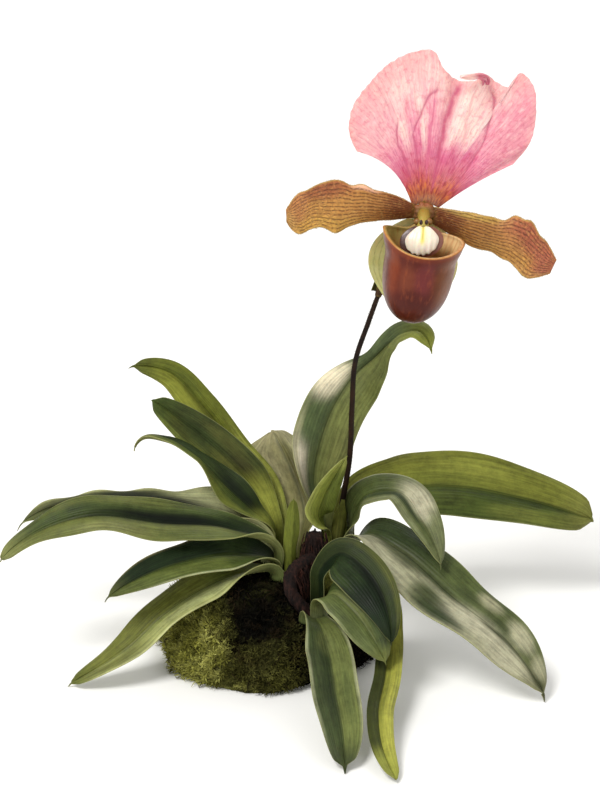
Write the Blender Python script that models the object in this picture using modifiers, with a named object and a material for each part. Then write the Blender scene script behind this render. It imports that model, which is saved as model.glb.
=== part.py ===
"""A slipper orchid in flower, lifted with its own clump of moss and soil.

The plant stands on the clump's flat underside. The origin lies on that underside, between
the shoots, with +Z up and the flower facing -Y. Lengths are millimetres until a mesh is made.
"""

import math

import bmesh
import bpy
import numpy as np
from mathutils import Vector, noise

MM = 0.001
GAP = 0.3

# The clump of moss that the plant stands in.
CLUMP_MIDDLE_X = -4.5
CLUMP_HALF_X = 37.5
CLUMP_HALF_Y = 34.0
CLUMP_HEIGHT = 26.5
CLUMP_ROUNDNESS = 3.2
CLUMP_LUMP = 1.8

# Leaves and their bases, which clasp the shoot in rings, one outside the other.
LEAF_THICK = 0.8
LEAF_ROWS = 14
LEAF_COLUMNS = 4
STUB_RADIUS = 2.0
STUB_DEPTH = 7.0
CLASP_ANGLE = math.radians(46)
# Where along a leaf its taper starts, and how much of its half width the tip loses.
TAPER_START = 0.55
TAPER_LOSS = 0.93

# Each shoot: where its axis stands, the height of its leaf bases, and its widest ring.
SHOOTS = {
    "left": (2.5, -3.0, 27.6, 6.3),
    "back": (1.0, 9.0, 25.2, 7.4),
    "scape": (18.5, 9.0, 25.2, 6.7),
    "front": (10.5, -20.0, 21.0, 6.3),
}

# The flower: every sepal, petal and the pouch start round this point.
FLOWER = np.array([46.0, -1.6, 155.4])
RECEPTACLE_RADIUS = 2.3
CLAW_RADIUS = 2.75
SEPAL_THICK = 0.8
PETAL_THICK = 0.8

POUCH_RIM = np.array([45.4, -14.2, 151.2])
POUCH_RIM_RADIUS = 12.6
POUCH_BODY_RADIUS = 10.9
POUCH_DEPTH = 28.0
POUCH_WALL = 0.8
POUCH_ROLL = math.radians(8)

STAMINODE = np.array([44.9, -14.4, 150.4])
STAMINODE_HALF = (5.3, 0.8, 4.7)
STAMINODE_NOTCH = 0.16
STAMINODE_DISH = 0.9

SCAPE_RADIUS = 0.9
SHEATH_RING = 2.1
BRACT_RING = 3.2
SHEATH_THICK = 0.6
ANTHER_RADIUS = 1.1


def clear_scene():
    for old in list(bpy.data.objects):
        bpy.data.objects.remove(old, do_unlink=True)


def new_collection(name):
    group = bpy.data.collections.new(name)
    bpy.context.scene.collection.children.link(group)
    return group


def material(name, colour, roughness):
    made = bpy.data.materials.new(name)
    made.use_nodes = True
    shader = made.node_tree.nodes["Principled BSDF"]
    shader.inputs["Base Color"].default_value = (*colour, 1)
    shader.inputs["Roughness"].default_value = roughness
    return made


def smooth_step(x):
    x = np.clip(x, 0, 1)
    return x * x * (3 - 2 * x)


def unit(vector):
    return vector / np.linalg.norm(vector)


def smooth_path(points, count):
    """count points evenly spaced along a smooth curve through the given points."""
    points = np.array(points, float)
    gaps = np.linalg.norm(np.diff(points, axis=0), axis=1)
    slopes = np.diff(points, axis=0) / gaps[:, None]
    before, after = gaps[:-1, None], gaps[1:, None]
    middle = (slopes[:-1] * after + slopes[1:] * before) / (before + after)
    tangents = np.vstack([2 * slopes[:1] - middle[:1], middle, 2 * slopes[-1:] - middle[-1:]])
    steps = np.linspace(0, 1, 24, endpoint=False)[:, None]
    fine = []
    for i, gap in enumerate(gaps):
        fine.append(
            (1 + 2 * steps) * (1 - steps) ** 2 * points[i]
            + steps * (1 - steps) ** 2 * gap * tangents[i]
            + steps**2 * (3 - 2 * steps) * points[i + 1]
            + steps**2 * (steps - 1) * gap * tangents[i + 1]
        )
    fine = np.vstack([*fine, points[-1:]])
    along = np.concatenate([[0], np.cumsum(np.linalg.norm(np.diff(fine, axis=0), axis=1))])
    wanted = np.linspace(0, along[-1], count)
    return np.stack([np.interp(wanted, along, fine[:, k]) for k in range(3)], axis=1)


def carried_frames(path, first_normal):
    """Tangent, normal and side at each point, with the normal carried along untwisted."""
    tangents = np.array([unit(step) for step in np.gradient(path, axis=0)])
    normals = []
    normal = np.array(first_normal, float)
    for tangent in tangents:
        normal = unit(normal - tangent * (normal @ tangent))
        normals.append(normal)
    normals = np.array(normals)
    return tangents, normals, np.cross(tangents, normals)


def sheet(name, points, thickness, group, finish):
    """A thin blade: a rows x columns x 3 array of points, thickened evenly on both sides."""
    rows, columns = len(points) - 1, len(points[0]) - 1
    bm = bmesh.new()
    bmesh.ops.create_grid(bm, x_segments=columns, y_segments=rows, size=0.5)
    for vert in bm.verts:
        column = round((vert.co.x + 0.5) * columns)
        row = round((vert.co.y + 0.5) * rows)
        vert.co = Vector(points[row][column]) * MM
    bmesh.ops.triangulate(bm, faces=bm.faces[:], quad_method="SHORT_EDGE")
    obj = mesh_object(name, bm, group, finish)
    shell = obj.modifiers.new("thickness", "SOLIDIFY")
    shell.thickness = thickness * MM
    shell.offset = 0
    return obj


def mesh_object(name, bm, group, finish=None):
    mesh = bpy.data.meshes.new(name)
    bm.to_mesh(mesh)
    bm.free()
    mesh.shade_smooth()
    obj = bpy.data.objects.new(name, mesh)
    if finish:
        mesh.materials.append(finish)
    group.objects.link(obj)
    return obj


def tube(name, path, radii, group, finish=None, resolution=2):
    """A round stem along a path. Its radius is read along the path from the few given."""
    curve = bpy.data.curves.new(name, "CURVE")
    curve.dimensions = "3D"
    curve.bevel_depth = MM
    curve.bevel_resolution = resolution
    curve.use_fill_caps = True
    spline = curve.splines.new("POLY")
    spline.points.add(len(path) - 1)
    radius_at = np.interp(np.linspace(0, 1, len(path)), np.linspace(0, 1, len(radii)), radii)
    for point, place, radius in zip(spline.points, path, radius_at):
        point.co = (*(np.array(place) * MM), 1)
        point.radius = radius
    obj = bpy.data.objects.new(name, curve)
    if finish:
        curve.materials.append(finish)
    group.objects.link(obj)
    return obj


def tube_mesh(name, path, radii, group, finish=None):
    """The same stem as a closed mesh, which a Boolean can take."""
    curve_object = tube(name + "_curve", path, radii, group, finish)
    graph = bpy.context.evaluated_depsgraph_get()
    mesh = bpy.data.meshes.new_from_object(curve_object.evaluated_get(graph))
    bm = bmesh.new()
    bm.from_mesh(mesh)
    bmesh.ops.remove_doubles(bm, verts=bm.verts[:], dist=1e-6)
    bmesh.ops.recalc_face_normals(bm, faces=bm.faces[:])
    bpy.data.objects.remove(curve_object, do_unlink=True)
    return mesh_object(name, bm, group, finish)


def drum(name, centre, radius, low, high, group):
    """An upright cylinder, used to cut a plain hole."""
    bm = bmesh.new()
    bmesh.ops.create_cone(
        bm, cap_ends=True, segments=20, radius1=radius * MM, radius2=radius * MM, depth=(high - low) * MM
    )
    bmesh.ops.translate(bm, verts=bm.verts[:], vec=Vector((*centre, (low + high) / 2)) * MM)
    return mesh_object(name, bm, group)


def as_helper(obj):
    obj.hide_render = True
    obj.display_type = "WIRE"


def join_by_boolean(obj, group, operation):
    for helper in group.objects:
        as_helper(helper)
    change = obj.modifiers.new(operation.lower(), "BOOLEAN")
    change.operation = operation
    change.operand_type = "COLLECTION"
    change.collection = group
    change.solver = "EXACT"


def leaf_points(shoot, ring, heading, stand, way, width, face, fold=12, point=0.75):
    """The middle surface of a leaf, as rows of points from its clasping foot to its tip.

    ring: radius of the foot round the shoot's axis. heading: where the foot looks, in degrees
    from +X. stand: how far it rises before it bends away. way: points that its midrib passes.
    face: where its upper side looks past the foot, once or at even steps along it.
    fold: how far each half rises, in degrees. point: how sharply the tip narrows.
    """
    axis_x, axis_y, foot_z, _ = SHOOTS[shoot]
    outward = np.array([math.cos(math.radians(heading)), math.sin(math.radians(heading)), 0])
    foot = np.array([axis_x, axis_y, foot_z]) + ring * outward
    upright = [foot, foot + [0, 0, 0.65 * stand], foot + [0, 0, stand]]
    path = smooth_path([*upright, *way], LEAF_ROWS + 1)
    tangents, normals, sides = carried_frames(path, -outward)
    length = np.linalg.norm(np.diff(path, axis=0), axis=1).sum()
    along = np.linspace(0, 1, LEAF_ROWS + 1)
    opened = smooth_step((along * length - stand) / (0.3 * length))
    taper = np.clip((along - TAPER_START) / (1 - TAPER_START), 0, 1)
    foot_half = ring * CLASP_ANGLE
    half = (foot_half + (width / 2 - foot_half) * opened) * (1 - TAPER_LOSS * taper**2.2) ** point
    curl = (1 - opened) / ring
    crease = math.radians(fold) * opened
    across = np.linspace(-1, 1, LEAF_COLUMNS + 1)
    faces = np.array(face, float).reshape(-1, 3)
    face_steps = np.linspace(0, 1, len(faces))
    rows = []
    for i in range(LEAF_ROWS + 1):
        wanted = np.array([np.interp(along[i], face_steps, faces[:, k]) for k in range(3)])
        wanted = unit(wanted - tangents[i] * (wanted @ tangents[i]))
        twist = math.atan2(wanted @ sides[i], wanted @ normals[i]) * opened[i]
        normal = normals[i] * math.cos(twist) + sides[i] * math.sin(twist)
        side = sides[i] * math.cos(twist) - normals[i] * math.sin(twist)
        reach = np.abs(across) * half[i]
        if curl[i] > 1e-3:
            out = (np.sin(crease[i] + curl[i] * reach) - math.sin(crease[i])) / curl[i]
            rise = (math.cos(crease[i]) - np.cos(crease[i] + curl[i] * reach)) / curl[i]
        else:
            out = reach * math.cos(crease[i])
            rise = reach * math.sin(crease[i])
        rows.append(path[i] + side * (np.sign(across) * out)[:, None] + normal * rise[:, None])
    return np.array(rows)


# Each leaf: shoot, ring, heading, stand, points along its midrib, width and upper side.
LEAVES = {
    "leaf_left_long": dict(
        shoot="left", ring=4.1, heading=190, stand=9, width=17, face=(0, -0.5, 0.87),
        way=[(-17, -7, 46.5), (-39, -11, 50.5), (-63, -14, 54.5), (-79, -16, 50), (-92, -18, 41)],
    ),
    "leaf_left_front": dict(
        shoot="left", ring=5.2, heading=203, stand=5, width=12.5, face=(0, -0.5, 0.87),
        way=[(-13.5, -9, 37.5), (-32, -18, 39.5), (-44.5, -24, 37.5), (-56, -30, 33)],
    ),
    "leaf_left_low": dict(
        shoot="left", ring=6.3, heading=218, stand=2, width=16, face=(-0.2, -0.4, 0.87),
        way=[(-14, -10, 31), (-25, -15, 28.5), (-38, -22, 22.5), (-50, -28, 13), (-69, -31, 1.7)],
    ),
    "leaf_spear": dict(
        shoot="left", ring=3.0, heading=290, stand=9, width=6.5, face=(0, 1, 0), fold=38, point=0.6,
        way=[(4, -5.4, 47), (4.5, -4, 56)],
    ),
    "leaf_left_rear": dict(
        shoot="back", ring=7.4, heading=195, stand=8, width=13.5, face=(0, -0.5, 0.87),
        way=[(-14, 9.5, 41.5), (-31, 14, 46), (-52, 18, 46.5), (-69.5, 19, 44.5), (-81.5, 17, 42.5), (-89, 14, 39)],
    ),
    "leaf_back_lower": dict(
        shoot="back", ring=4.1, heading=180, stand=13, width=13,
        face=[(0.2, -0.9, 0.3), (0.2, -0.8, 0.5), (0.1, 0.1, 0.95), (0, 0.4, 0.9)],
        way=[(-10.5, 9, 46.5), (-20, 12, 55), (-29, 14, 63.5), (-39.5, 16, 69), (-47, 16, 69.5), (-49.5, 15, 67)],
    ),
    "leaf_back_middle": dict(
        shoot="back", ring=5.2, heading=135, stand=11, width=12, face=(0.2, -0.9, 0.35),
        way=[(-10, 20, 50), (-22, 23, 62.5), (-33, 25, 71.5), (-43.5, 25, 80)],
    ),
    "leaf_back_upper": dict(
        shoot="back", ring=6.3, heading=118, stand=8, width=14, face=(0.2, -0.9, 0.35),
        way=[(-6, 25.5, 48.5), (-15.5, 31, 59), (-27.5, 35, 74.5), (-39, 38, 85.5), (-50.5, 36, 88.5)],
    ),
    "leaf_back_pale": dict(
        shoot="back", ring=7.4, heading=42, stand=6, width=14, face=(0, -0.8, 0.6), point=0.5,
        way=[(8, 23, 39), (3.5, 33, 50.5), (-3, 43, 61)],
    ),
    "leaf_young": dict(
        shoot="scape", ring=3.4, heading=205, stand=13, width=11, face=(0.5, -0.85, 0.2), fold=22,
        way=[(12.5, 4.5, 46), (14.5, 3.8, 54), (18, 3.6, 61.5), (22, 4, 68)],
    ),
    "leaf_upright": dict(
        shoot="scape", ring=4.5, heading=132, stand=13, width=23,
        face=[(0.4, -0.9, 0.2), (0.4, -0.9, 0.2), (0.3, -0.85, 0.4), (-0.5, 0.15, 0.65), (-0.2, -0.2, 0.95)],
        way=[(11, 14.5, 55.5), (13.5, 17, 69), (18.5, 20, 81.5), (24.5, 20, 91), (31, 17, 98.5), (37, 13, 105.5),
             (41.5, 9.5, 110), (46, 6.5, 111.5), (49.5, 3, 107.5)],
    ),
    "leaf_right_long": dict(
        shoot="scape", ring=6.7, heading=50, stand=15, width=25, face=(0, -0.67, 0.74), point=0.45,
        way=[(27, 21.5, 46), (41.5, 29, 45.5), (59, 32, 45), (84, 33, 40), (109, 30, 33)],
    ),
    "leaf_right_arched": dict(
        shoot="scape", ring=5.6, heading=-15, stand=11, width=13, face=(0.2, -0.3, 0.93),
        way=[(30, 5.5, 53.5), (40, 2.5, 55.5), (47, -7, 50), (53, -19, 39.5)],
    ),
    "leaf_right_low": dict(
        shoot="scape", ring=6.7, heading=-48, stand=5, width=22, face=(0.1, -0.3, 0.94), point=0.55,
        way=[(29.5, -1.5, 41.5), (40, -9, 39), (57, -22, 28.5), (74, -32, 18), (86, -41, 3.5)],
    ),
    "leaf_front_dark": dict(
        shoot="front", ring=4.1, heading=50, stand=14, width=13, face=(-0.2, -0.5, 0.85),
        way=[(20, -18, 43), (27, -24, 41), (32.5, -31, 36), (36, -44, 24)],
    ),
    "leaf_front_light": dict(
        shoot="front", ring=5.2, heading=-50, stand=6, width=14, face=(-0.2, -0.5, 0.85),
        way=[(17.5, -28, 32.5), (23.5, -33.5, 30), (29.5, -39.5, 24), (34, -46, 18)],
    ),
    "leaf_front_narrow": dict(
        shoot="front", ring=6.3, heading=40, stand=6.5, width=11, face=(0, -0.3, 0.95), point=0.5,
        way=[(24, -13.5, 30.5), (29.5, -14.5, 30.5), (34.5, -19, 25.5), (35.5, -27, 18.5), (34.5, -44, 12),
             (31.5, -65, 8.5), (32.5, -79, 4.5), (36, -91, 1.7)],
    ),
    "leaf_front_tongue": dict(
        shoot="front", ring=6.3, heading=-86, stand=1.5, width=15.5, face=(0, -0.2, 0.98), point=0.55,
        way=[(12.5, -31, 23.5), (16, -44, 19), (18, -60, 13), (20, -74, 7.5), (20.5, -84, 2.2)],
    ),
}

LEAF_COLOURS = {
    "leaf_left_long": (0.10, 0.17, 0.045),
    "leaf_left_front": (0.12, 0.20, 0.05),
    "leaf_left_low": (0.20, 0.22, 0.06),
    "leaf_spear": (0.30, 0.42, 0.08),
    "leaf_left_rear": (0.24, 0.30, 0.17),
    "leaf_back_lower": (0.22, 0.26, 0.10),
    "leaf_back_middle": (0.12, 0.16, 0.05),
    "leaf_back_upper": (0.26, 0.30, 0.08),
    "leaf_back_pale": (0.20, 0.25, 0.15),
    "leaf_young": (0.36, 0.45, 0.10),
    "leaf_upright": (0.16, 0.25, 0.15),
    "leaf_right_long": (0.20, 0.25, 0.06),
    "leaf_right_arched": (0.18, 0.25, 0.13),
    "leaf_right_low": (0.12, 0.19, 0.07),
    "leaf_front_dark": (0.05, 0.10, 0.03),
    "leaf_front_light": (0.22, 0.32, 0.10),
    "leaf_front_narrow": (0.22, 0.26, 0.06),
    "leaf_front_tongue": (0.15, 0.25, 0.07),
}


def build_leaves(group):
    for name, shape in LEAVES.items():
        finish = material(name, LEAF_COLOURS[name], 0.45)
        sheet(name, leaf_points(**shape), LEAF_THICK, group, finish)


# The rhizome, which carries every shoot, with the fibrous stump of an old one.
STUMP = (11.5, -3.0)
STUMP_RADIUS = 4.2
STUMP_TOP = 43.0
CROWN_Z = 21.5
CROWN_RADIUS = 2.3
STUMP_DEPTH = 5.0
# The buried links run a little beside the shoots' axes, from left to back, stump and scape.
LINKS = [((2.9, -2.6), (1.3, 8.6)), ((2.1, -3.4), (12.0, -2.6)), ((11.1, -2.6), (18.1, 8.5))]
CREEPING_RADII = [2.3, 2.4, 2.2]
CREEPING_ARC = [(11, -7, 35.5), (6.6, -12, 36), (3.4, -16, 33.5), (4, -19.5, 28.5), (7.5, -20, 24), (10, -20, 20)]
ROOT_PATH = [(12.5, -21.4, 16), (15, -24, 16.8), (18.5, -28, 18.5), (21, -31.5, 16), (22.5, -34, 9), (23, -35.5, 2)]
ROOT_RADIUS = 1.2


def longer(path, extra):
    """The same path with both its ends drawn out by extra."""
    path = np.array(path, float)
    first = path[0] + unit(path[0] - path[1]) * extra
    last = path[-1] + unit(path[-1] - path[-2]) * extra
    return np.vstack([first, path[1:-1], last])


def rhizome_pieces(group, grow, label):
    """The rhizome's pieces, each wider by grow: 0 for the plant itself, GAP for its sockets."""
    for name, (x, y, foot_z, _) in SHOOTS.items():
        stub = [(x, y, z) for z in np.linspace(foot_z - STUB_DEPTH - grow, foot_z + 1.5, 4)]
        tube_mesh(f"{label}_stub_{name}", stub, [STUB_RADIUS + grow], group)
    for number, (start, end) in enumerate(LINKS):
        link = longer([(*start, CROWN_Z), (*end, CROWN_Z)], grow)
        tube_mesh(f"{label}_link_{number}", link, [CROWN_RADIUS + grow], group)
    arc = longer(smooth_path(CREEPING_ARC, 14), grow)
    tube_mesh(f"{label}_arc", arc, [radius + grow for radius in CREEPING_RADII], group)


def build_rhizome(parts, group):
    bark = material("rhizome_bark", (0.06, 0.03, 0.015), 0.9)
    stump = [(*STUMP, z) for z in np.linspace(CROWN_Z - STUMP_DEPTH, STUMP_TOP, 8)]
    radii = [STUMP_RADIUS - 1, STUMP_RADIUS, STUMP_RADIUS, STUMP_RADIUS - 1.3]
    body = tube_mesh("rhizome", stump, radii, group, bark)
    rhizome_pieces(parts, 0, "rhizome")
    join_by_boolean(body, parts, "UNION")
    root_finish = material("root", (0.07, 0.04, 0.02), 0.85)
    tube("root", smooth_path(ROOT_PATH, 16), [ROOT_RADIUS, ROOT_RADIUS, 0.8], group, root_finish, 1)


def build_clump(sockets, group):
    """A lumpy cushion with a flat underside, and a plain socket for whatever grows in it."""
    bm = bmesh.new()
    bmesh.ops.create_uvsphere(bm, u_segments=36, v_segments=18, radius=1)
    for vert in bm.verts:
        bearing = math.atan2(vert.co.y, vert.co.x)
        spread = math.hypot(vert.co.x, vert.co.y)
        rim = 1 + 0.05 * math.sin(3 * bearing + 1) + 0.03 * math.sin(7 * bearing)
        x = CLUMP_MIDDLE_X + vert.co.x * CLUMP_HALF_X * rim
        y = vert.co.y * CLUMP_HALF_Y * rim
        z = 0.0
        if vert.co.z > 1e-4:
            dome = CLUMP_HEIGHT * math.sqrt(max(0.0, 1 - spread**CLUMP_ROUNDNESS))
            lump = noise.noise(Vector((x, y, dome)) * 0.12) + 0.5 * noise.noise(Vector((x, y, dome)) * 0.3)
            z = max(dome + CLUMP_LUMP * lump * min(1, dome / 8), 1.0)
        vert.co = Vector((x, y, z)) * MM
    moss = mesh_object("moss_clump", bm, group, material("moss", (0.04, 0.06, 0.015), 1.0))
    rhizome_pieces(sockets, GAP, "socket")
    stump = [(*STUMP, CROWN_Z - STUMP_DEPTH - GAP), (*STUMP, STUMP_TOP)]
    tube_mesh("socket_stump", stump, [STUMP_RADIUS + GAP], sockets)
    tube_mesh("socket_root", longer(smooth_path(ROOT_PATH, 16), GAP), [ROOT_RADIUS + GAP], sockets)
    for name, (x, y, foot_z, widest) in SHOOTS.items():
        sleeve = widest + LEAF_THICK / 2 + GAP
        drum(f"socket_{name}", (x, y), sleeve, foot_z - GAP, CLUMP_HEIGHT + 12, sockets)
    join_by_boolean(moss, sockets, "DIFFERENCE")


# The flower's stalk rises from the scape shoot, and its ovary carries the flower.
SCAPE_PATH = [
    (18.5, 9, 27.5), (20.5, 10, 45), (23.4, 9, 66), (24, 7.5, 85), (25, 6.5, 102), (29, 5.6, 115.5), (32, 4.8, 125),
]
OVARY_PATH = [
    (32.3, 4.7, 125.9), (35.5, 6.2, 134), (40, 7.6, 143), (44.2, 6.8, 151), (46, 3.6, 155), FLOWER,
]


def build_scape(group):
    stalk = material("scape", (0.10, 0.03, 0.03), 0.6)
    path = smooth_path(SCAPE_PATH, 26)
    tube("scape", path, [SCAPE_RADIUS + 0.1, SCAPE_RADIUS, SCAPE_RADIUS - 0.1], group, stalk)
    ovary_finish = material("ovary", (0.16, 0.10, 0.05), 0.6)
    radii = [1.0, 1.9, 2.3, 2.2, 2.0, RECEPTACLE_RADIUS]
    tube("ovary", smooth_path(OVARY_PATH, 20), radii, group, ovary_finish)


def clasping_sheath(name, path, first_normal, ring, half_angle, group, finish):
    """A thin sleeve, open on one side, that clasps a stalk and narrows to a tip."""
    tangents, normals, sides = carried_frames(path, first_normal)
    across = np.linspace(-1, 1, 9)
    rows = []
    for i, place in enumerate(path):
        along = i / (len(path) - 1)
        angle = across * half_angle * (1 - 0.85 * smooth_step((along - 0.45) / 0.55))
        rows.append(
            place
            + ring * (sides[i] * np.sin(angle)[:, None] - normals[i] * np.cos(angle)[:, None])
        )
    sheet(name, np.array(rows), SHEATH_THICK, group, finish)


def build_sheaths(group):
    green = material("sheath", (0.16, 0.24, 0.07), 0.5)
    low = smooth_path(SCAPE_PATH, 60)[1:15:2]
    clasping_sheath("scape_sheath", low, (0, 1, 0), SHEATH_RING, math.radians(125), group, green)
    bract_green = material("bract", (0.20, 0.26, 0.10), 0.5)
    high = smooth_path(OVARY_PATH, 40)[1:18:2]
    clasping_sheath("bract", high, (0, -1, 0), BRACT_RING, math.radians(80), group, bract_green)


# The dorsal sepal's rim from its left corner over the top to its right corner, seen from
# in front: sideways and upwards from the middle of the flower.
DORSAL_RIM = [
    (-21.5, 20), (-24, 27), (-23, 34), (-19, 40.5), (-12, 47.5), (-4, 51.5), (3, 51.5), (6.5, 46), (11, 42.5),
    (15, 43), (18.5, 45.5), (22, 42), (26, 41), (29.5, 44.5), (33.5, 41), (34.5, 33), (33, 23), (28, 15.5),
]
# Folds that run from the claw to the rim: place across (-1 to 1), half width and how far forward.
DORSAL_FOLDS = [
    (-0.62, 0.16, 1.4), (-0.33, 0.10, -1.6), (-0.12, 0.12, 1.2), (0.10, 0.07, -1.8),
    (0.24, 0.10, 2.0), (0.42, 0.07, -1.8), (0.66, 0.13, 1.4), (0.92, 0.12, -1.5),
]
DORSAL_CLAW_HALF = 5.2
DORSAL_CUP = 2.2
DORSAL_ROWS = 12
DORSAL_COLUMNS = 32


def dorsal_point(across, along, rim):
    """A point of the dorsal sepal: across from -1 to 1, along from the claw to the rim."""
    claw_angle = 0.95 * across + 0.15
    claw = np.array([DORSAL_CLAW_HALF * math.sin(claw_angle), CLAW_RADIUS * math.cos(claw_angle)])
    reach = rim - claw
    sideways = np.array([-reach[1], reach[0]]) / np.linalg.norm(reach)
    bow = 4 * along * (1 - along) * (0.8 * max(0, across) ** 4 - 3.6 * max(0, -across))
    flat = claw + reach * along + sideways * bow
    relief = sum(height * math.exp(-(((across - at) / wide) ** 2)) for at, wide, height in DORSAL_FOLDS)
    cup = DORSAL_CUP * along**2 * across**2
    depth = 0.9 - relief * along**1.7 - cup + 1.5 * along
    return FLOWER + [flat[0], depth, flat[1]]


def build_dorsal(group):
    rim_points = [(x, 0, z) for x, z in DORSAL_RIM]
    rim = smooth_path(rim_points, DORSAL_COLUMNS + 1)[:, [0, 2]]
    rows = [
        [
            dorsal_point(2 * column / DORSAL_COLUMNS - 1, row / DORSAL_ROWS, rim[column])
            for column in range(DORSAL_COLUMNS + 1)
        ]
        for row in range(DORSAL_ROWS + 1)
    ]
    pink = material("dorsal_sepal", (0.75, 0.32, 0.42), 0.5)
    sheet("dorsal_sepal", np.array(rows), SEPAL_THICK, group, pink)


# Upper and lower edges of the two petals, from the middle of the flower outwards.
PETALS = {
    "petal_left": (
        [(43.6, -1.9, 157.6), (35.3, -5, 162.6), (28.3, -7, 164.8), (17.5, -9, 168), (10, -11, 166.6),
         (5, -12.6, 163.6), (2.2, -13.4, 160)],
        [(43.3, -2.1, 154.0), (36, -4.2, 153.8), (27, -7.6, 154.2), (17.5, -11, 152.4), (10.5, -12.4, 153.6),
         (6, -13.4, 152.2), (2.4, -13.6, 156)],
    ),
    "petal_right": (
        [(48.7, -1.9, 156.4), (56, -5, 157.2), (64.4, -7, 156.4), (71, -9, 155.4), (77, -10.4, 155),
         (83, -12, 150), (87.6, -13.2, 143.5)],
        [(48.3, -2.1, 152.2), (54, -3.4, 149), (62, -7.6, 145.7), (69.4, -10.4, 143.6), (75, -12, 140.2),
         (80, -13.4, 137.6), (85.6, -13.6, 139)],
    ),
}
PETAL_ROWS = 18
PETAL_COLUMNS = 6
PETAL_SWELL = 1.6
PETAL_RIPPLE = 0.8


def build_petals(group):
    for name, (upper, lower) in PETALS.items():
        top = smooth_path(upper, PETAL_ROWS + 1)
        bottom = smooth_path(lower, PETAL_ROWS + 1)
        rows = []
        for row in range(PETAL_ROWS + 1):
            along = row / PETAL_ROWS
            across = np.linspace(0, 1, PETAL_COLUMNS + 1)[:, None]
            line = bottom[row] + (top[row] - bottom[row]) * across
            swell = PETAL_SWELL * np.sin(math.pi * across) * math.sin(math.pi * min(1, along * 1.3 + 0.05))
            ripple = PETAL_RIPPLE * along * np.sin(17 * along + 2) * (2 * across - 1) ** 2
            rows.append(line + np.array([0, -1, 0]) * (swell + ripple))
        finish = material(name, (0.32, 0.15, 0.05), 0.45)
        sheet(name, np.array(rows), PETAL_THICK, group, finish)


SYNSEPAL_ROWS = 12
SYNSEPAL_COLUMNS = 8
SYNSEPAL_LENGTH = 31.0
SYNSEPAL_HALF = 14.3
SYNSEPAL_LEAN = 4.2


def build_synsepal(group):
    """The two lower sepals, grown together, hanging behind the pouch."""
    rows = []
    for row in range(SYNSEPAL_ROWS + 1):
        along = row / SYNSEPAL_ROWS
        half = 1.9 + SYNSEPAL_HALF * math.sin(math.pi * (0.04 + 0.9 * along) ** 0.85) ** 0.9
        across = np.linspace(-1, 1, SYNSEPAL_COLUMNS + 1)
        start = FLOWER + [0, 1.0, -CLAW_RADIUS - 0.2]
        centre = start + np.array([-SYNSEPAL_LEAN, 0, -SYNSEPAL_LENGTH]) * along
        rows.append(
            np.stack(
                [
                    centre[0] + across * half,
                    centre[1] + 0.8 * along - 1.3 * (across**2) * math.sin(math.pi * along),
                    centre[2] - 0.16 * across * half,
                ],
                axis=1,
            )
        )
    pale = material("synsepal", (0.55, 0.62, 0.30), 0.5)
    sheet("synsepal", np.array(rows), SEPAL_THICK, group, pale)


def pouch_radius(depth):
    """Half width of the pouch at a depth from 0 at the rim to 1 at the bottom."""
    flare = (POUCH_RIM_RADIUS - POUCH_BODY_RADIUS) * (1 - smooth_step(depth / 0.28))
    belly = POUCH_BODY_RADIUS * (1 - max(0, (depth - 0.25) / 0.75) ** 2.9) ** 0.5
    return flare + belly


def build_pouch(group):
    """An open bag: the lower cap of a sphere, drawn out to the pouch's own profile."""
    bm = bmesh.new()
    bmesh.ops.create_uvsphere(bm, u_segments=28, v_segments=28, radius=1)
    above = [vert for vert in bm.verts if vert.co.z > 1e-4]
    bmesh.ops.delete(bm, geom=above, context="VERTS")
    turn = np.array([[math.cos(POUCH_ROLL), 0, math.sin(POUCH_ROLL)], [0, 1, 0],
                     [-math.sin(POUCH_ROLL), 0, math.cos(POUCH_ROLL)]])
    for vert in bm.verts:
        bearing = math.atan2(vert.co.y, vert.co.x)
        polar = math.acos(max(-1, min(1, -vert.co.z))) / (math.pi / 2)
        depth = 1 - polar
        radius = pouch_radius(depth)
        forward = -math.sin(bearing)
        ears = 1.9 * abs(math.cos(bearing)) ** 3 - 2.8 * max(0, forward) ** 1.5 - 1.2 * max(0, -forward) ** 2
        if forward < 0:
            ears += 3.0 * math.exp(-((math.cos(bearing) / 0.22) ** 2))
        x = radius * math.cos(bearing)
        y = radius * math.sin(bearing) * (0.94 if forward < 0 else 0.98)
        z = -POUCH_DEPTH * depth + ears * (1 - depth) ** 3
        vert.co = Vector(POUCH_RIM + turn @ np.array([x, y, z])) * MM
    obj = mesh_object("pouch", bm, group, material("pouch", (0.28, 0.05, 0.03), 0.2))
    shell = obj.modifiers.new("wall", "SOLIDIFY")
    shell.thickness = POUCH_WALL * MM
    shell.offset = 0


def build_column(parts, group):
    """The column reaches forward over the pouch, with an anther on each side."""
    green = material("column", (0.50, 0.50, 0.16), 0.5)
    start = FLOWER + [0, -GAP, 0]
    path = smooth_path([start, start + [-0.3, -5, -0.6], STAMINODE + [0.2, 3.4, 1.3]], 8)
    body = tube_mesh("column", path, [1.7, 1.6, 1.9], group, green)
    for side in (-1, 1):
        bm = bmesh.new()
        bmesh.ops.create_icosphere(bm, subdivisions=2, radius=ANTHER_RADIUS * MM)
        place = path[5] + np.array([side * 1.9, 0.2, 0.9])
        bmesh.ops.translate(bm, verts=bm.verts[:], vec=Vector(place) * MM)
        mesh_object(f"anther_{side}", bm, parts)
    join_by_boolean(body, parts, "UNION")


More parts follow.
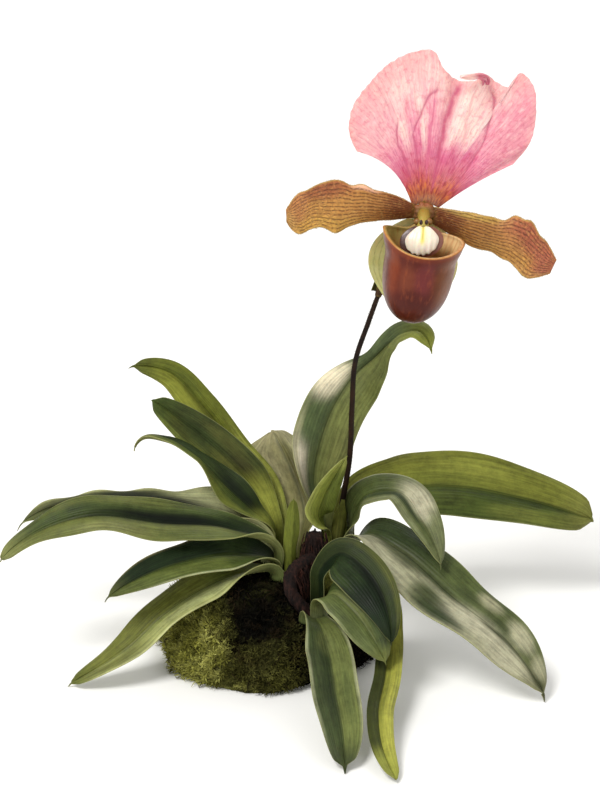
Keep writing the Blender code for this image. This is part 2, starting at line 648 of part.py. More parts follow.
def build_staminode(group):
    """The shield at the middle of the flower: a flat heart with a notch at its top."""
    bm = bmesh.new()
    bmesh.ops.create_uvsphere(bm, u_segments=24, v_segments=12, radius=1)
    wide, thick, tall = STAMINODE_HALF
    for vert in bm.verts:
        across, front, up = vert.co
        notch = STAMINODE_NOTCH * math.exp(-((across / 0.25) ** 2)) * max(0, up)
        x = across * wide * (1 + 0.12 * up)
        z = (up - notch) * tall
        y = front * thick - STAMINODE_DISH * (1 - across**2) * (1 - up**2) + 0.45 * z
        vert.co = Vector(STAMINODE + [x + 0.1 * z, y, z * 0.92]) * MM
    mesh_object("staminode", bm, group, material("staminode", (0.9, 0.9, 0.8), 0.4))


def main():
    clear_scene()
    plant = new_collection("paphiopedilum_orchid")
    rhizome_parts = new_collection("rhizome_parts")
    column_parts = new_collection("column_parts")
    sockets = new_collection("clump_sockets")
    build_clump(sockets, plant)
    build_rhizome(rhizome_parts, plant)
    build_leaves(plant)
    build_scape(plant)
    build_sheaths(plant)
    build_dorsal(plant)
    build_petals(plant)
    build_synsepal(plant)
    build_pouch(plant)
    build_column(column_parts, plant)
    build_staminode(plant)


main()
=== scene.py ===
"""The slipper orchid's looks: finer leaves and flower over the same forms, hairs, veins, moss and colour."""

import math

import bmesh
import bpy
import numpy as np
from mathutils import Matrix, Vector, noise


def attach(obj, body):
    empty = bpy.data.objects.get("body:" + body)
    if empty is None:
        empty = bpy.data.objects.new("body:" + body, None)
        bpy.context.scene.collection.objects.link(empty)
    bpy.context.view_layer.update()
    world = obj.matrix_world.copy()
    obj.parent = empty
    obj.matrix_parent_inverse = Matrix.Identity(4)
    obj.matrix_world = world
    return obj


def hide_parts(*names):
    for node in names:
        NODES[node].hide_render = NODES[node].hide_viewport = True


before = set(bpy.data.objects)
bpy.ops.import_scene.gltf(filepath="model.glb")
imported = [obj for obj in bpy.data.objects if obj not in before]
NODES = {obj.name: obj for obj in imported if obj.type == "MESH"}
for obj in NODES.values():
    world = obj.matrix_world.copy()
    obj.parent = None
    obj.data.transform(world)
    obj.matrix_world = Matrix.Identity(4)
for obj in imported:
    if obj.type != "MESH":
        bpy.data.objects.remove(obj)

MM = 0.001
TURN = 2 * math.pi
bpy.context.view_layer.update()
SEEDS = {"petal": 23, "boss": 31, "stalk": 5, "moss": 11, "root": 3, "fibre": 17}
# Hairs of each part: length, radius, seed and colour.
HAIRS = {
    "petal": (0.55, 0.03, 29, (150, 116, 60)), "boss": (0.7, 0.03, 37, (140, 112, 50)),
    "stalk": (0.5, 0.035, 7, (46, 28, 15)), "root": (0.7, 0.05, 4, (60, 44, 30)),
}


def placed(name, data, place=(0, 0, 0), target=None):
    """A new object in the scene, turned to look at target if one is given."""
    obj = bpy.data.objects.new(name, data)
    bpy.context.scene.collection.objects.link(obj)
    obj.location = place
    if target:
        obj.rotation_euler = (Vector(target) - obj.location).to_track_quat("-Z", "Y").to_euler()
    return obj


def linear(colour):
    """Linear colour from a tuple of display values, 0 to 255. An array is linear already."""
    if isinstance(colour, np.ndarray):
        return colour
    value = np.array(colour, float) / 255
    return np.where(value <= 0.04045, value / 12.92, ((value + 0.055) / 1.055) ** 2.4)


# Shader helpers

class Net:
    """A material's node tree, with short calls for what every finish here needs."""

    def __init__(self, name):
        self.material = bpy.data.materials.new(name)
        self.material.use_nodes = True
        self.tree = self.material.node_tree
        self.shader = self.tree.nodes["Principled BSDF"]

    def node(self, kind, **settings):
        made = self.tree.nodes.new(kind)
        for key, value in settings.items():
            setattr(made, key, value)
        return made

    def put(self, socket, value):
        if isinstance(value, bpy.types.NodeSocket):
            self.tree.links.new(value, socket)
        elif socket.type == "RGBA":
            socket.default_value = (*[float(part) for part in linear(value)], 1)
        else:
            socket.default_value = value

    def fed(self, made, *values):
        """Fills a node's first inputs, and gives its first output."""
        for socket, value in zip(made.inputs, values):
            self.put(socket, value)
        return made.outputs[0]

    def math(self, operation, first, second=0.0, third=0.0):
        return self.fed(self.node("ShaderNodeMath", operation=operation), first, second, third)

    def times(self, first, second):
        return self.math("MULTIPLY", first, second)

    def plus(self, first, *others):
        for other in others:
            first = self.math("ADD", first, other)
        return first

    def size(self, value):
        return self.math("ABSOLUTE", value)

    def step(self, value, low, high, to_low=0.0, to_high=1.0):
        made = self.node("ShaderNodeMapRange", interpolation_type="SMOOTHSTEP")
        return self.fed(made, value, low, high, to_low, to_high)

    def mix(self, factor, first, second, blend="MIX"):
        made = self.node("ShaderNodeMix", data_type="RGBA", blend_type=blend)
        for place, value in ((0, factor), (6, first), (7, second)):
            self.put(made.inputs[place], value)
        return made.outputs[2]

    def dyed(self, tint, colour):
        return self.mix(1.0, tint, colour, "MULTIPLY")

    def tint(self):
        return self.node("ShaderNodeAttribute", attribute_name="tint").outputs["Color"]

    def blade(self):
        made = self.node("ShaderNodeSeparateXYZ")
        self.put(made.inputs[0], self.node("ShaderNodeAttribute", attribute_name="blade").outputs["Vector"])
        return made.outputs

    def join(self, x, y):
        return self.fed(self.node("ShaderNodeCombineXYZ"), x, y, 0.0)

    def noise(self, scale, detail=3.0, roughness=0.55, vector=None):
        """Noise in the object's own place, or over the given vector."""
        if vector is None:
            vector = self.node("ShaderNodeTexCoord").outputs["Object"]
        made = self.node("ShaderNodeTexNoise")
        self.put(made.inputs["Vector"], vector)
        for key, value in (("Scale", scale), ("Detail", detail), ("Roughness", roughness)):
            made.inputs[key].default_value = value
        return made.outputs["Fac"]

    def drawn(self, across, wide, along, long, scale=2.0, detail=3.0, roughness=0.55):
        """Noise over two coordinates, each stretched by its own factor."""
        place = self.join(self.times(across, wide), self.times(along, long))
        return self.noise(scale, detail, roughness, place)

    def bump(self, height, distance, strength=1.0, below=None):
        made = self.node("ShaderNodeBump")
        self.put(made.inputs["Height"], height)
        made.inputs["Distance"].default_value = distance
        made.inputs["Strength"].default_value = strength
        if below is not None:
            self.put(made.inputs["Normal"], below)
        return made.outputs[0]

    def done(self, colour, roughness, gloss=0.5, lifted=None, glow=None, **more):
        """The finished material. gloss is the specular level, glow the subsurface weight and scale."""
        values = {"Base Color": colour, "Roughness": roughness, "Specular IOR Level": gloss}
        if lifted is not None:
            values["Normal"] = lifted
        if glow:
            values["Subsurface Weight"], values["Subsurface Scale"] = glow
        for key, value in {**values, **more}.items():
            self.put(self.shader.inputs[key.replace("_", " ")], value)
        return self.material


# Curves and blades

def smooth_step(x):
    x = np.clip(x, 0, 1)
    return x * x * (3 - 2 * x)


def unit(vectors):
    length = np.linalg.norm(vectors, axis=-1, keepdims=True)
    return vectors / np.maximum(length, 1e-9)


def between(at, places, values):
    """Rows of values, each given at one of the places, read off at other places."""
    return np.stack([np.interp(at, places, column) for column in np.asarray(values).T], axis=-1)


def bump_at(x, centre, width):
    return np.exp(-(((x - centre) / width) ** 2))


def smooth_path(points, count):
    """count points evenly spaced along a smooth curve through the given points."""
    points = np.array(points, float)
    gaps = np.linalg.norm(np.diff(points, axis=0), axis=1)
    slopes = np.diff(points, axis=0) / gaps[:, None]
    before, after = gaps[:-1, None], gaps[1:, None]
    middle = (slopes[:-1] * after + slopes[1:] * before) / (before + after)
    tangents = np.vstack([2 * slopes[:1] - middle[:1], middle, 2 * slopes[-1:] - middle[-1:]])
    steps = np.linspace(0, 1, 24, endpoint=False)[:, None]
    fine = []
    for i, gap in enumerate(gaps):
        fine.append(
            (1 + 2 * steps) * (1 - steps) ** 2 * points[i]
            + steps * (1 - steps) ** 2 * gap * tangents[i]
            + steps**2 * (3 - 2 * steps) * points[i + 1]
            + steps**2 * (steps - 1) * gap * tangents[i + 1]
        )
    fine = np.vstack([*fine, points[-1:]])
    along = np.concatenate([[0], np.cumsum(np.linalg.norm(np.diff(fine, axis=0), axis=1))])
    return between(np.linspace(0, along[-1], count), along, fine)


def carried_frames(path, first_normal):
    """Tangent, normal and side at each point, with the normal carried along untwisted."""
    tangents = unit(np.gradient(path, axis=0))
    normals = []
    normal = np.array(first_normal, float)
    for tangent in tangents:
        normal = unit(normal - tangent * (normal @ tangent))
        normals.append(normal)
    normals = np.array(normals)
    return tangents, normals, np.cross(tangents, normals)


def grid(low, high, columns, rows):
    """Two coordinates over a grid of points: low to high across it, and 0 to 1 along it."""
    return np.meshgrid(np.linspace(low, high, columns), np.linspace(0, 1, rows))


def mesh_piece(name, points, faces, node, finish, smooth=True, **fields):
    """A piece from points in millimetres. fields hold a value for each point, by name."""
    mesh = bpy.data.meshes.new(name)
    faces = faces.tolist() if isinstance(faces, np.ndarray) else faces
    mesh.from_pydata((np.asarray(points).reshape(-1, 3) * MM).tolist(), [], faces)
    for field, values in fields.items():
        values = np.asarray(values, np.float32).reshape(-1, 3)
        if field == "tint":
            values = np.concatenate([values, np.ones((len(values), 1), np.float32)], axis=1)
            mesh.color_attributes.new(field, "FLOAT_COLOR", "POINT").data.foreach_set("color", values.ravel())
        else:
            mesh.attributes.new(field, "FLOAT_VECTOR", "POINT").data.foreach_set("vector", values.ravel())
    mesh.validate()
    mesh.update()
    if smooth:
        mesh.shade_smooth()
    mesh.materials.append(finish)
    piece = placed(name, mesh)
    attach(piece, "root")
    if node:
        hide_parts(node)


def grid_faces(rows, columns, closed=False):
    """Quads of a rows x columns grid of points; closed joins the last column to the first."""
    last = columns if closed else columns - 1
    i, j = np.meshgrid(np.arange(rows - 1), np.arange(last), indexing="ij")
    here, right = i * columns + j, i * columns + (j + 1) % columns
    return np.stack([here, right, right + columns, here + columns], axis=-1).reshape(-1, 4)


def blade_normals(middle):
    return unit(np.cross(np.gradient(middle, axis=1), np.gradient(middle, axis=0)))


def blade_shell(middle, half):
    """Points and faces of a closed thin blade round a grid of middle points. Its upper side
    looks along (across) x (along)."""
    rows, columns = middle.shape[:2]
    lift = blade_normals(middle) * half[..., None]
    top = grid_faces(rows, columns)
    count = rows * columns
    ring = np.concatenate([
        np.arange(columns), np.arange(1, rows) * columns + columns - 1,
        (rows - 1) * columns + np.arange(columns - 2, -1, -1), np.arange(rows - 2, 0, -1) * columns,
    ])
    after = np.roll(ring, -1)
    edge = np.stack([after, ring, ring + count, after + count], axis=1)
    faces = np.concatenate([top, top[:, ::-1] + count, edge])
    return np.concatenate([middle + lift, middle - lift]).reshape(-1, 3), faces


def blade_fields(across, along, upper_mark=1.0):
    """The blade coordinate: across, along and a mark, which is 0 on the lower side."""
    upper = np.stack([across, along, np.broadcast_to(upper_mark, across.shape)], axis=-1)
    return np.concatenate([upper, upper * [1, 1, 0]])


def blade_piece(name, middle, across, along, half_thick, upper, lower, node, finish, upper_mark=1.0):
    """A petal or sepal as a thin blade, thinner at its rim and tip."""
    rim = np.abs(2 * (across - across.min()) / (across.max() - across.min()) - 1)
    half = half_thick * (1 - 0.7 * rim**6) * (1 - 0.6 * smooth_step((along - 0.93) / 0.07))
    mesh_piece(name, *blade_shell(middle, half), node, finish, tint=np.concatenate([upper, lower]),
               blade=blade_fields(across, along, upper_mark))


def blend(first, second, amount):
    amount = np.asarray(amount)[..., None]
    return linear(first) * (1 - amount) + linear(second) * amount


def patched(tint, across, along, patches):
    """The tint with soft patches: across, along, their widths, colour and strength."""
    for at, place, wide, long, colour, amount in patches:
        spread = ((across - at) / wide) ** 2 + ((along - place) / long) ** 2
        tint = blend(tint, colour, amount * np.exp(-(spread**2.1)))
    return tint


def tube_points(path, radii, sides):
    """Points of a tube, the way out at each, and how far along and round it each is."""
    _, normals, across = carried_frames(path, (0.3, 1, 0.2))
    turn, along = np.meshgrid(np.linspace(0, 1, sides, endpoint=False), np.linspace(0, 1, len(path)))
    angle = TURN * turn[..., None]
    ring = normals[:, None] * np.cos(angle) + across[:, None] * np.sin(angle)
    return path[:, None] + ring * np.asarray(radii)[:, None, None], ring, along, turn


def tube_faces(rows, sides):
    body = grid_faces(rows, sides, closed=True).tolist()
    return body + [list(range(sides))[::-1], list(range((rows - 1) * sides, rows * sides))]


def sphere_points(rows, columns):
    """Across, front and up of the points of a unit ball, and its faces."""
    polar, turn = np.linspace(0.001, math.pi - 0.001, rows), np.linspace(0, TURN, columns, endpoint=False)
    polar, turn = np.meshgrid(polar, turn, indexing="ij")
    faces = grid_faces(rows, columns, closed=True)
    return np.sin(polar) * np.cos(turn), np.sin(polar) * np.sin(turn), np.cos(polar), faces


def hairs(name, look, part, places, directions):
    """Short three-sided hairs standing on the given places, each a little bent at random."""
    length, radius, seed, colour = HAIRS[part]
    rng = np.random.default_rng(seed)
    count = len(places)
    lean = unit(directions + rng.normal(0, 0.35, directions.shape))
    helper = unit(np.cross(lean, [0.3, 0.2, 0.93]))
    other = np.cross(lean, helper)
    reach = length * rng.uniform(0.5, 1.2, (count, 1))
    corners = [
        places - lean * 0.15 + radius * (helper * math.cos(turn) + other * math.sin(turn))
        for turn in (0.0, 2.094, 4.189)
    ]
    points = np.stack([*corners, places + lean * reach], axis=1)
    base = np.arange(count)[:, None] * 4
    faces = np.concatenate([base + [0, 1, 3], base + [1, 2, 3], base + [2, 0, 3]])
    net = Net(look)
    shade = net.mix(net.noise(300.0, 2.0), colour, linear(colour) * 0.6)
    mesh_piece(name, points, faces, None, net.done(shade, 0.7, 0.15), smooth=False)


# Leaves: the same shoots, feet and midribs as the solids

CLASP_ANGLE = math.radians(46)
LEAF_HALF_THICK = 0.4
LEAF_ROWS = 88
LEAF_COLUMNS = 24
MUCRO_ROWS = 6
LEAF_LOWEST = 0.2
TAPER_START = 0.55
TAPER_LOSS = 0.93
SHOOTS = {
    "left": (2.5, -3.0, 27.6), "back": (1.0, 9.0, 25.2),
    "scape": (18.5, 9.0, 25.2), "front": (10.5, -20.0, 21.0),
}

# Each leaf: its shoot, ring, heading, stand and width, and the points along its midrib, as in the
# solids. Then what differs from the plain leaf: its upper side, fold, waves, how much fuller each
# half is, places where a half narrows or widens, and the mucro at its tip. Then the colours of its
# minus and plus halves, foot, tip and lower side, and its patches. The two halves' colours are partly
# the leaf's own green and partly painted light and painted shade, with one half lit and the other
# shaded. The patches are partly the leaf's own tone and partly painted highlights, painted sheen and
# painted shadows.
LEAVES = {
    "leaf_left_long": (
        ("left", 4.1, 190, 9, 17),
        [(-17, -7, 46.5), (-39, -11, 50.5), (-63, -14, 54.5), (-79, -16, 50), (-92, -18, 41)],
        dict(wave=0.9, ripples=8, fuller=(0.95, 1.0), early=0.1,
             pinch=[(1, 0.3, 0.08, 0.8), (-1, 0.16, 0.1, 1.7)]),
        [(94, 100, 50), (62, 74, 34), (62, 76, 30), (120, 124, 74), (120, 124, 74)],
        # Its near black patches are painted shadow.
        [(0.8, 0.62, 0.3, 0.25, (88, 94, 46), 0.9), (0.14, 0.43, 0.3, 0.28, (6, 14, 4), 1.0),
         (0.3, 0.2, 0.6, 0.12, (20, 34, 10), 0.85), (-0.7, 0.3, 0.3, 0.2, (78, 88, 44), 0.6),
         (-0.75, 0.62, 0.3, 0.12, (122, 124, 76), 0.6), (0.5, 0.72, 0.2, 0.05, (44, 56, 26), 0.6),
         (-0.05, 0.62, 0.16, 0.14, (34, 44, 18), 0.85)],
    ),
    "leaf_left_front": (
        ("left", 5.2, 203, 5, 12.5),
        [(-13.5, -9, 37.5), (-32, -18, 39.5), (-44.5, -24, 37.5), (-56, -30, 33)],
        dict(wave=0.4, fuller=(1.15, 1.1), mucro=1.6, pinch=[(1, 0.28, 0.16, 1.9)]),
        [(88, 98, 46), (24, 38, 16), (40, 52, 20), (72, 78, 38), (112, 116, 66)],
        [(0.5, 0.3, 0.6, 0.1, (40, 54, 22), 0.8), (0.97, 0.7, 0.08, 0.4, (118, 112, 76), 0.7),
         (-0.1, 0.5, 0.15, 0.3, (60, 72, 30), 0.8), (-0.6, 0.25, 0.4, 0.12, (54, 68, 28), 0.8),
         (-0.98, 0.4, 0.06, 0.4, (186, 190, 150), 0.7)],
    ),
    "leaf_left_low": (
        ("left", 6.3, 218, 2, 16),
        [(-14, -10, 31), (-25, -15, 28.5), (-38, -22, 22.5), (-50, -28, 13), (-69, -31, 1.7)],
        dict(face=(-0.2, -0.4, 0.87), wave=0.5, ripples=6, fuller=(0.9, 0.95), mucro=2.0, early=0.12),
        [(142, 146, 88), (104, 108, 46), (100, 112, 62), (104, 110, 50), (140, 142, 88)],
        [(-0.2, 0.45, 0.2, 0.3, (116, 124, 66), 0.7), (-0.6, 0.35, 0.25, 0.2, (158, 164, 112), 0.6),
         (-0.6, 0.78, 0.3, 0.14, (94, 98, 44), 0.8), (0.3, 0.6, 0.25, 0.3, (94, 98, 38), 0.6),
         (-0.98, 0.6, 0.07, 0.4, (186, 188, 134), 0.7), (0.2, 0.25, 0.5, 0.08, (74, 84, 34), 0.6)],
    ),
    "leaf_spear": (
        ("left", 3.0, 290, 9, 6.5),
        [(4, -5.4, 47), (4.5, -4, 56)],
        dict(face=(0, 1, 0), fold=38, point=0.6, ripples=3),
        [(54, 60, 18), (110, 118, 46), (122, 128, 52), (96, 104, 42), (106, 114, 44)],
        [],
    ),
    "leaf_left_rear": (
        ("back", 7.4, 195, 8, 13.5),
        [(-14, 9.5, 41.5), (-31, 14, 46), (-52, 18, 46.5), (-69.5, 19, 44.5), (-81.5, 17, 42.5),
         (-89, 14, 39)],
        dict(wave=1.1, ripples=11, fuller=(1.1, 0.5), mucro=2.4, early=0.16,
             pinch=[(-1, 0.2, 0.14, 1.7), (1, 0.27, 0.15, 2.3)]),
        [(40, 48, 22), (132, 134, 90), (138, 142, 98), (96, 102, 58), (146, 148, 104)],
        # Its near black patches are painted shadow.
        [(0.2, 0.66, 0.62, 0.3, (24, 30, 12), 0.98), (0.98, 0.6, 0.17, 0.5, (150, 152, 108), 0.9),
         (0.5, 0.2, 0.9, 0.15, (150, 152, 114), 0.9), (-0.4, 0.22, 0.6, 0.12, (128, 132, 92), 0.8),
         (0.1, 0.42, 0.16, 0.14, (24, 28, 14), 0.95), (0.6, 0.3, 0.5, 0.16, (150, 152, 112), 0.9)],
    ),
    "leaf_back_lower": (
        ("back", 4.1, 180, 13, 13),
        [(-10.5, 9, 46.5), (-20, 12, 55), (-29, 14, 63.5), (-39.5, 16, 69), (-47, 16, 69.5), (-49.5, 15, 67)],
        dict(face=[(0.2, -0.9, 0.3), (0.2, -0.8, 0.5), (0.1, 0.1, 0.95), (0, 0.4, 0.9)], wave=0.3,
             early=0.12),
        [(76, 86, 32), (40, 52, 22), (108, 112, 48), (142, 142, 84), (134, 136, 76)],
        [(0.2, 0.38, 0.36, 0.22, (18, 28, 10), 0.95), (-0.3, 0.34, 0.3, 0.16, (50, 62, 22), 0.8),
         (-0.8, 0.5, 0.2, 0.2, (104, 110, 42), 0.7), (0.0, 0.6, 0.5, 0.08, (52, 64, 26), 0.7),
         (-0.2, 0.19, 1.3, 0.12, (134, 140, 58), 0.85)],
    ),
    "leaf_back_middle": (
        ("back", 5.2, 135, 11, 12),
        [(-10, 20, 50), (-22, 23, 62.5), (-33, 25, 71.5), (-43.5, 25, 80)],
        dict(face=(0.2, -0.9, 0.35), point=0.42, wave=0.5, ripples=4, fuller=(1.25, 1.3), mucro=0.8),
        [(72, 78, 32), (56, 64, 30), (116, 118, 50), (66, 80, 34), (108, 112, 58)],
        [(0.0, 0.72, 0.5, 0.12, (46, 58, 28), 0.7), (0.3, 0.45, 0.3, 0.12, (54, 52, 28), 0.8),
         (-0.2, 0.5, 0.3, 0.14, (88, 90, 40), 0.7), (0.6, 0.62, 0.3, 0.14, (84, 86, 40), 0.6),
         (-0.1, 0.27, 1.3, 0.16, (146, 150, 62), 0.9), (-0.9, 0.85, 0.2, 0.1, (120, 132, 60), 0.7)],
    ),
    "leaf_back_upper": (
        ("back", 6.3, 118, 8, 14),
        [(-6, 25.5, 48.5), (-15.5, 31, 59), (-27.5, 35, 74.5), (-39, 38, 85.5), (-50.5, 36, 88.5)],
        dict(face=(0.2, -0.9, 0.35), point=0.62, wave=0.5, ripples=4, fuller=(1.1, 0.75), mucro=2.0),
        [(120, 124, 46), (98, 104, 36), (144, 148, 62), (92, 98, 40), (122, 126, 66)],
        [(-0.1, 0.66, 0.16, 0.16, (80, 84, 26), 0.9), (-0.6, 0.72, 0.3, 0.14, (134, 138, 54), 0.8),
         (0.3, 0.8, 0.4, 0.1, (84, 92, 34), 0.8), (0.4, 0.5, 0.4, 0.12, (112, 118, 44), 0.7),
         (0.65, 0.36, 0.3, 0.2, (156, 160, 74), 0.8)],
    ),
    "leaf_back_pale": (
        ("back", 7.4, 42, 6, 14),
        [(8, 23, 39), (3.5, 33, 50.5), (-3, 43, 61)],
        dict(face=(0, -0.8, 0.6), point=0.42, wave=0.8, fuller=(3.2, 1.3), pinch=[(-1, 0.9, 0.16, 2.2)]),
        [(134, 130, 88), (100, 98, 58), (84, 84, 44), (164, 158, 118), (140, 140, 100)],
        [(0.2, 0.6, 0.3, 0.2, (84, 80, 44), 0.8), (-0.4, 0.75, 0.3, 0.2, (156, 150, 114), 0.7),
         (0.6, 0.8, 0.2, 0.15, (160, 156, 120), 0.7)],
    ),
    "leaf_young": (
        ("scape", 3.4, 205, 13, 11),
        [(12.5, 4.5, 46), (14.5, 3.8, 54), (18, 3.6, 61.5), (22, 4, 68)],
        dict(face=(0.5, -0.85, 0.2), fold=22, wave=0.2, ripples=3, fuller=(1.5, 1.0), early=0.16),
        [(132, 140, 60), (90, 100, 38), (118, 126, 50), (140, 144, 72), (128, 134, 60)],
        [(-0.9, 0.5, 0.2, 0.4, (156, 160, 84), 0.6), (0.1, 0.4, 0.2, 0.3, (104, 112, 44), 0.7)],
    ),
    "leaf_upright": (
        ("scape", 4.5, 132, 13, 23),
        [(11, 14.5, 55.5), (13.5, 17, 69), (18.5, 20, 81.5), (24.5, 20, 91), (31, 17, 98.5), (37, 13, 105.5),
         (41.5, 9.5, 110), (46, 6.5, 111.5), (49.5, 3, 107.5)],
        dict(face=[(0.4, -0.9, 0.2), (0.4, -0.9, 0.2), (0.35, -0.85, 0.3), (0.2, -0.7, 0.5),
                   (-0.2, -0.2, 0.95)],
             wave=0.5, ripples=4, mucro=1.4, pinch=[(-1, 0.74, 0.13, 0.3), (1, 0.82, 0.1, 0.45)]),
        [(84, 96, 60), (108, 114, 62), (108, 112, 66), (138, 144, 62), (140, 144, 88)],
        # Its near white patches on the left half are a painted highlight.
        [(-0.8, 0.33, 0.4, 0.09, (200, 190, 168), 0.95), (-0.65, 0.6, 0.5, 0.07, (224, 214, 184), 0.95),
         (-0.5, 0.46, 0.45, 0.07, (82, 96, 58), 0.95), (-0.2, 0.34, 0.25, 0.06, (104, 114, 70), 0.7),
         (0.7, 0.35, 0.4, 0.14, (122, 124, 72), 0.7), (0.05, 0.42, 0.12, 0.16, (92, 98, 54), 0.8),
         (0.2, 0.62, 0.3, 0.08, (98, 104, 62), 0.7), (-0.9, 0.35, 0.12, 0.15, (168, 164, 128), 0.7)],
    ),
    "leaf_right_long": (
        ("scape", 6.7, 50, 15, 25),
        [(27, 21.5, 46), (41.5, 29, 45.5), (59, 32, 45), (84, 33, 40), (109, 30, 33)],
        dict(face=(0, -0.67, 0.74), point=0.45, wave=1.0),
        [(120, 124, 48), (64, 76, 28), (84, 92, 36), (112, 114, 54), (126, 130, 72)],
        [(-0.2, 0.55, 0.25, 0.14, (108, 114, 44), 0.7), (-0.6, 0.62, 0.3, 0.12, (142, 146, 62), 0.8),
         (0.15, 0.78, 0.12, 0.2, (48, 60, 22), 0.9), (0.3, 0.66, 0.12, 0.08, (52, 64, 24), 0.8),
         (0.7, 0.8, 0.3, 0.14, (104, 110, 48), 0.8), (0.5, 0.5, 0.4, 0.1, (70, 80, 32), 0.8),
         (-0.85, 0.4, 0.2, 0.2, (106, 108, 40), 0.6), (0.1, 0.5, 0.1, 0.4, (60, 70, 28), 0.7)],
    ),
    "leaf_right_arched": (
        ("scape", 5.6, -15, 11, 13),
        [(30, 5.5, 53.5), (40, 2.5, 55.5), (47, -7, 50), (53, -19, 39.5)],
        dict(face=(0.2, -0.3, 0.93), wave=0.6, ripples=4, fuller=(1.3, 1.15), mucro=1.4),
        [(92, 98, 62), (78, 86, 48), (72, 82, 38), (98, 104, 66), (120, 124, 84)],
        # Its pale grey patches are painted sheen, and its darkest patch is painted shade.
        [(-0.2, 0.4, 1.1, 0.17, (66, 76, 36), 1.0), (-0.99, 0.42, 0.05, 0.2, (160, 162, 132), 0.8),
         (-0.35, 0.68, 0.6, 0.11, (180, 176, 148), 0.95), (0.4, 0.6, 0.16, 0.24, (42, 52, 26), 0.95),
         (0.7, 0.35, 0.3, 0.12, (84, 92, 46), 0.7), (-0.6, 0.85, 0.3, 0.12, (104, 110, 74), 0.8),
         (0.8, 0.6, 0.2, 0.3, (120, 124, 88), 0.7)],
    ),
    "leaf_right_low": (
        ("scape", 6.7, -48, 5, 22),
        [(29.5, -1.5, 41.5), (40, -9, 39), (57, -22, 28.5), (74, -32, 18), (86, -41, 3.5)],
        dict(face=(0.1, -0.3, 0.94), point=0.58, wave=1.0, ripples=6, fuller=(1.0, 1.45), mucro=2.2,
             pinch=[(1, 0.98, 0.05, 0.8)]),
        [(76, 86, 46), (150, 149, 120), (44, 54, 26), (116, 116, 82), (128, 132, 94)],
        # Its pale grey patches are painted sheen.
        [(-0.5, 0.3, 0.6, 0.16, (44, 56, 28), 0.95), (0.1, 0.36, 0.3, 0.1, (78, 84, 52), 0.9),
         (0.75, 0.3, 0.4, 0.12, (160, 158, 130), 0.9), (0.6, 0.5, 0.4, 0.05, (66, 74, 42), 0.7),
         (0.78, 0.58, 0.2, 0.1, (44, 54, 26), 1.0), (0.5, 0.53, 0.2, 0.06, (56, 64, 34), 0.9),
         (0.03, 0.52, 0.13, 0.16, (58, 66, 36), 0.95), (0.3, 0.7, 0.4, 0.12, (176, 173, 146), 0.95),
         (0.1, 0.8, 0.12, 0.12, (56, 62, 34), 1.0), (0.1, 0.97, 0.5, 0.06, (62, 66, 40), 0.95),
         (-0.35, 0.6, 0.18, 0.05, (56, 64, 34), 0.95), (-0.62, 0.68, 0.26, 0.05, (150, 148, 118), 0.9),
         (-0.5, 0.82, 0.4, 0.06, (166, 163, 134), 0.9), (0.6, 0.84, 0.45, 0.1, (170, 167, 140), 0.9),
         (-0.5, 0.93, 0.4, 0.04, (160, 158, 128), 0.8), (-0.25, 0.75, 0.1, 0.04, (62, 70, 40), 0.9)],
    ),
    "leaf_front_dark": (
        ("front", 4.1, 50, 14, 13),
        [(20, -18, 43), (27, -24, 41), (32.5, -31, 36), (36, -44, 24)],
        dict(face=(-0.2, -0.5, 0.85), wave=0.4, ripples=4, fuller=(1.0, 1.75)),
        [(40, 50, 20), (16, 30, 10), (26, 34, 14), (26, 38, 14), (24, 32, 12)],
        [(-0.8, 0.7, 0.2, 0.3, (80, 84, 34), 0.7), (0.4, 0.5, 0.3, 0.14, (36, 50, 22), 0.8),
         (0.05, 0.66, 0.2, 0.2, (8, 16, 5), 0.9), (0.8, 0.5, 0.16, 0.16, (50, 64, 28), 0.7),
         (0.5, 0.75, 0.3, 0.09, (12, 22, 7), 0.85)],
    ),
    "leaf_front_light": (
        ("front", 5.2, -50, 6, 14),
        [(17.5, -28, 32.5), (23.5, -33.5, 30), (29.5, -39.5, 24), (34, -46, 18)],
        dict(face=(-0.2, -0.5, 0.85), wave=0.4, ripples=4, fuller=(1.35, 1.0)),
        [(66, 78, 38), (88, 98, 54), (122, 130, 90), (104, 110, 58), (100, 106, 60)],
        [(-0.1, 0.5, 0.14, 0.4, (104, 110, 62), 0.7), (-0.7, 0.55, 0.34, 0.34, (30, 40, 16), 0.9),
         (0.6, 0.55, 0.3, 0.2, (76, 86, 46), 0.7), (0.95, 0.4, 0.1, 0.4, (150, 156, 112), 0.7)],
    ),
    "leaf_front_narrow": (
        ("front", 6.3, 40, 6.5, 11),
        [(24, -13.5, 30.5), (29.5, -14.5, 30.5), (34.5, -19, 25.5), (35.5, -27, 18.5), (34.5, -44, 12),
         (31.5, -65, 8.5), (32.5, -79, 4.5), (36, -91, 1.7)],
        dict(face=(0, -0.3, 0.95), point=0.5, wave=0.4, ripples=6, mucro=0.3, fuller=(0.95, 0.7)),
        [(160, 160, 68), (54, 60, 24), (96, 100, 40), (142, 146, 62), (112, 116, 54)],
        [(0.5, 0.97, 0.6, 0.08, (128, 132, 58), 0.9), (-0.2, 0.6, 0.2, 0.3, (116, 120, 50), 0.7),
         (-0.9, 0.6, 0.2, 0.3, (136, 138, 66), 0.6)],
    ),
    "leaf_front_tongue": (
        ("front", 6.3, -86, 1.5, 15.5),
        [(12.5, -31, 23.5), (16, -44, 19), (18, -60, 13), (20, -74, 7.5), (20.5, -84, 2.2)],
        dict(face=(0, -0.2, 0.98), point=0.48, wave=0.4, mucro=2.0),
        [(98, 106, 56), (56, 66, 36), (76, 84, 46), (62, 70, 38), (110, 114, 74)],
        [(0.95, 0.45, 0.1, 0.45, (140, 144, 110), 0.75), (-0.96, 0.45, 0.08, 0.5, (158, 160, 126), 0.8),
         (-0.5, 0.6, 0.2, 0.2, (82, 92, 48), 0.7), (0.3, 0.5, 0.2, 0.3, (40, 50, 24), 0.8),
         (0.1, 0.25, 0.4, 0.08, (92, 98, 56), 0.6)],
    ),
}


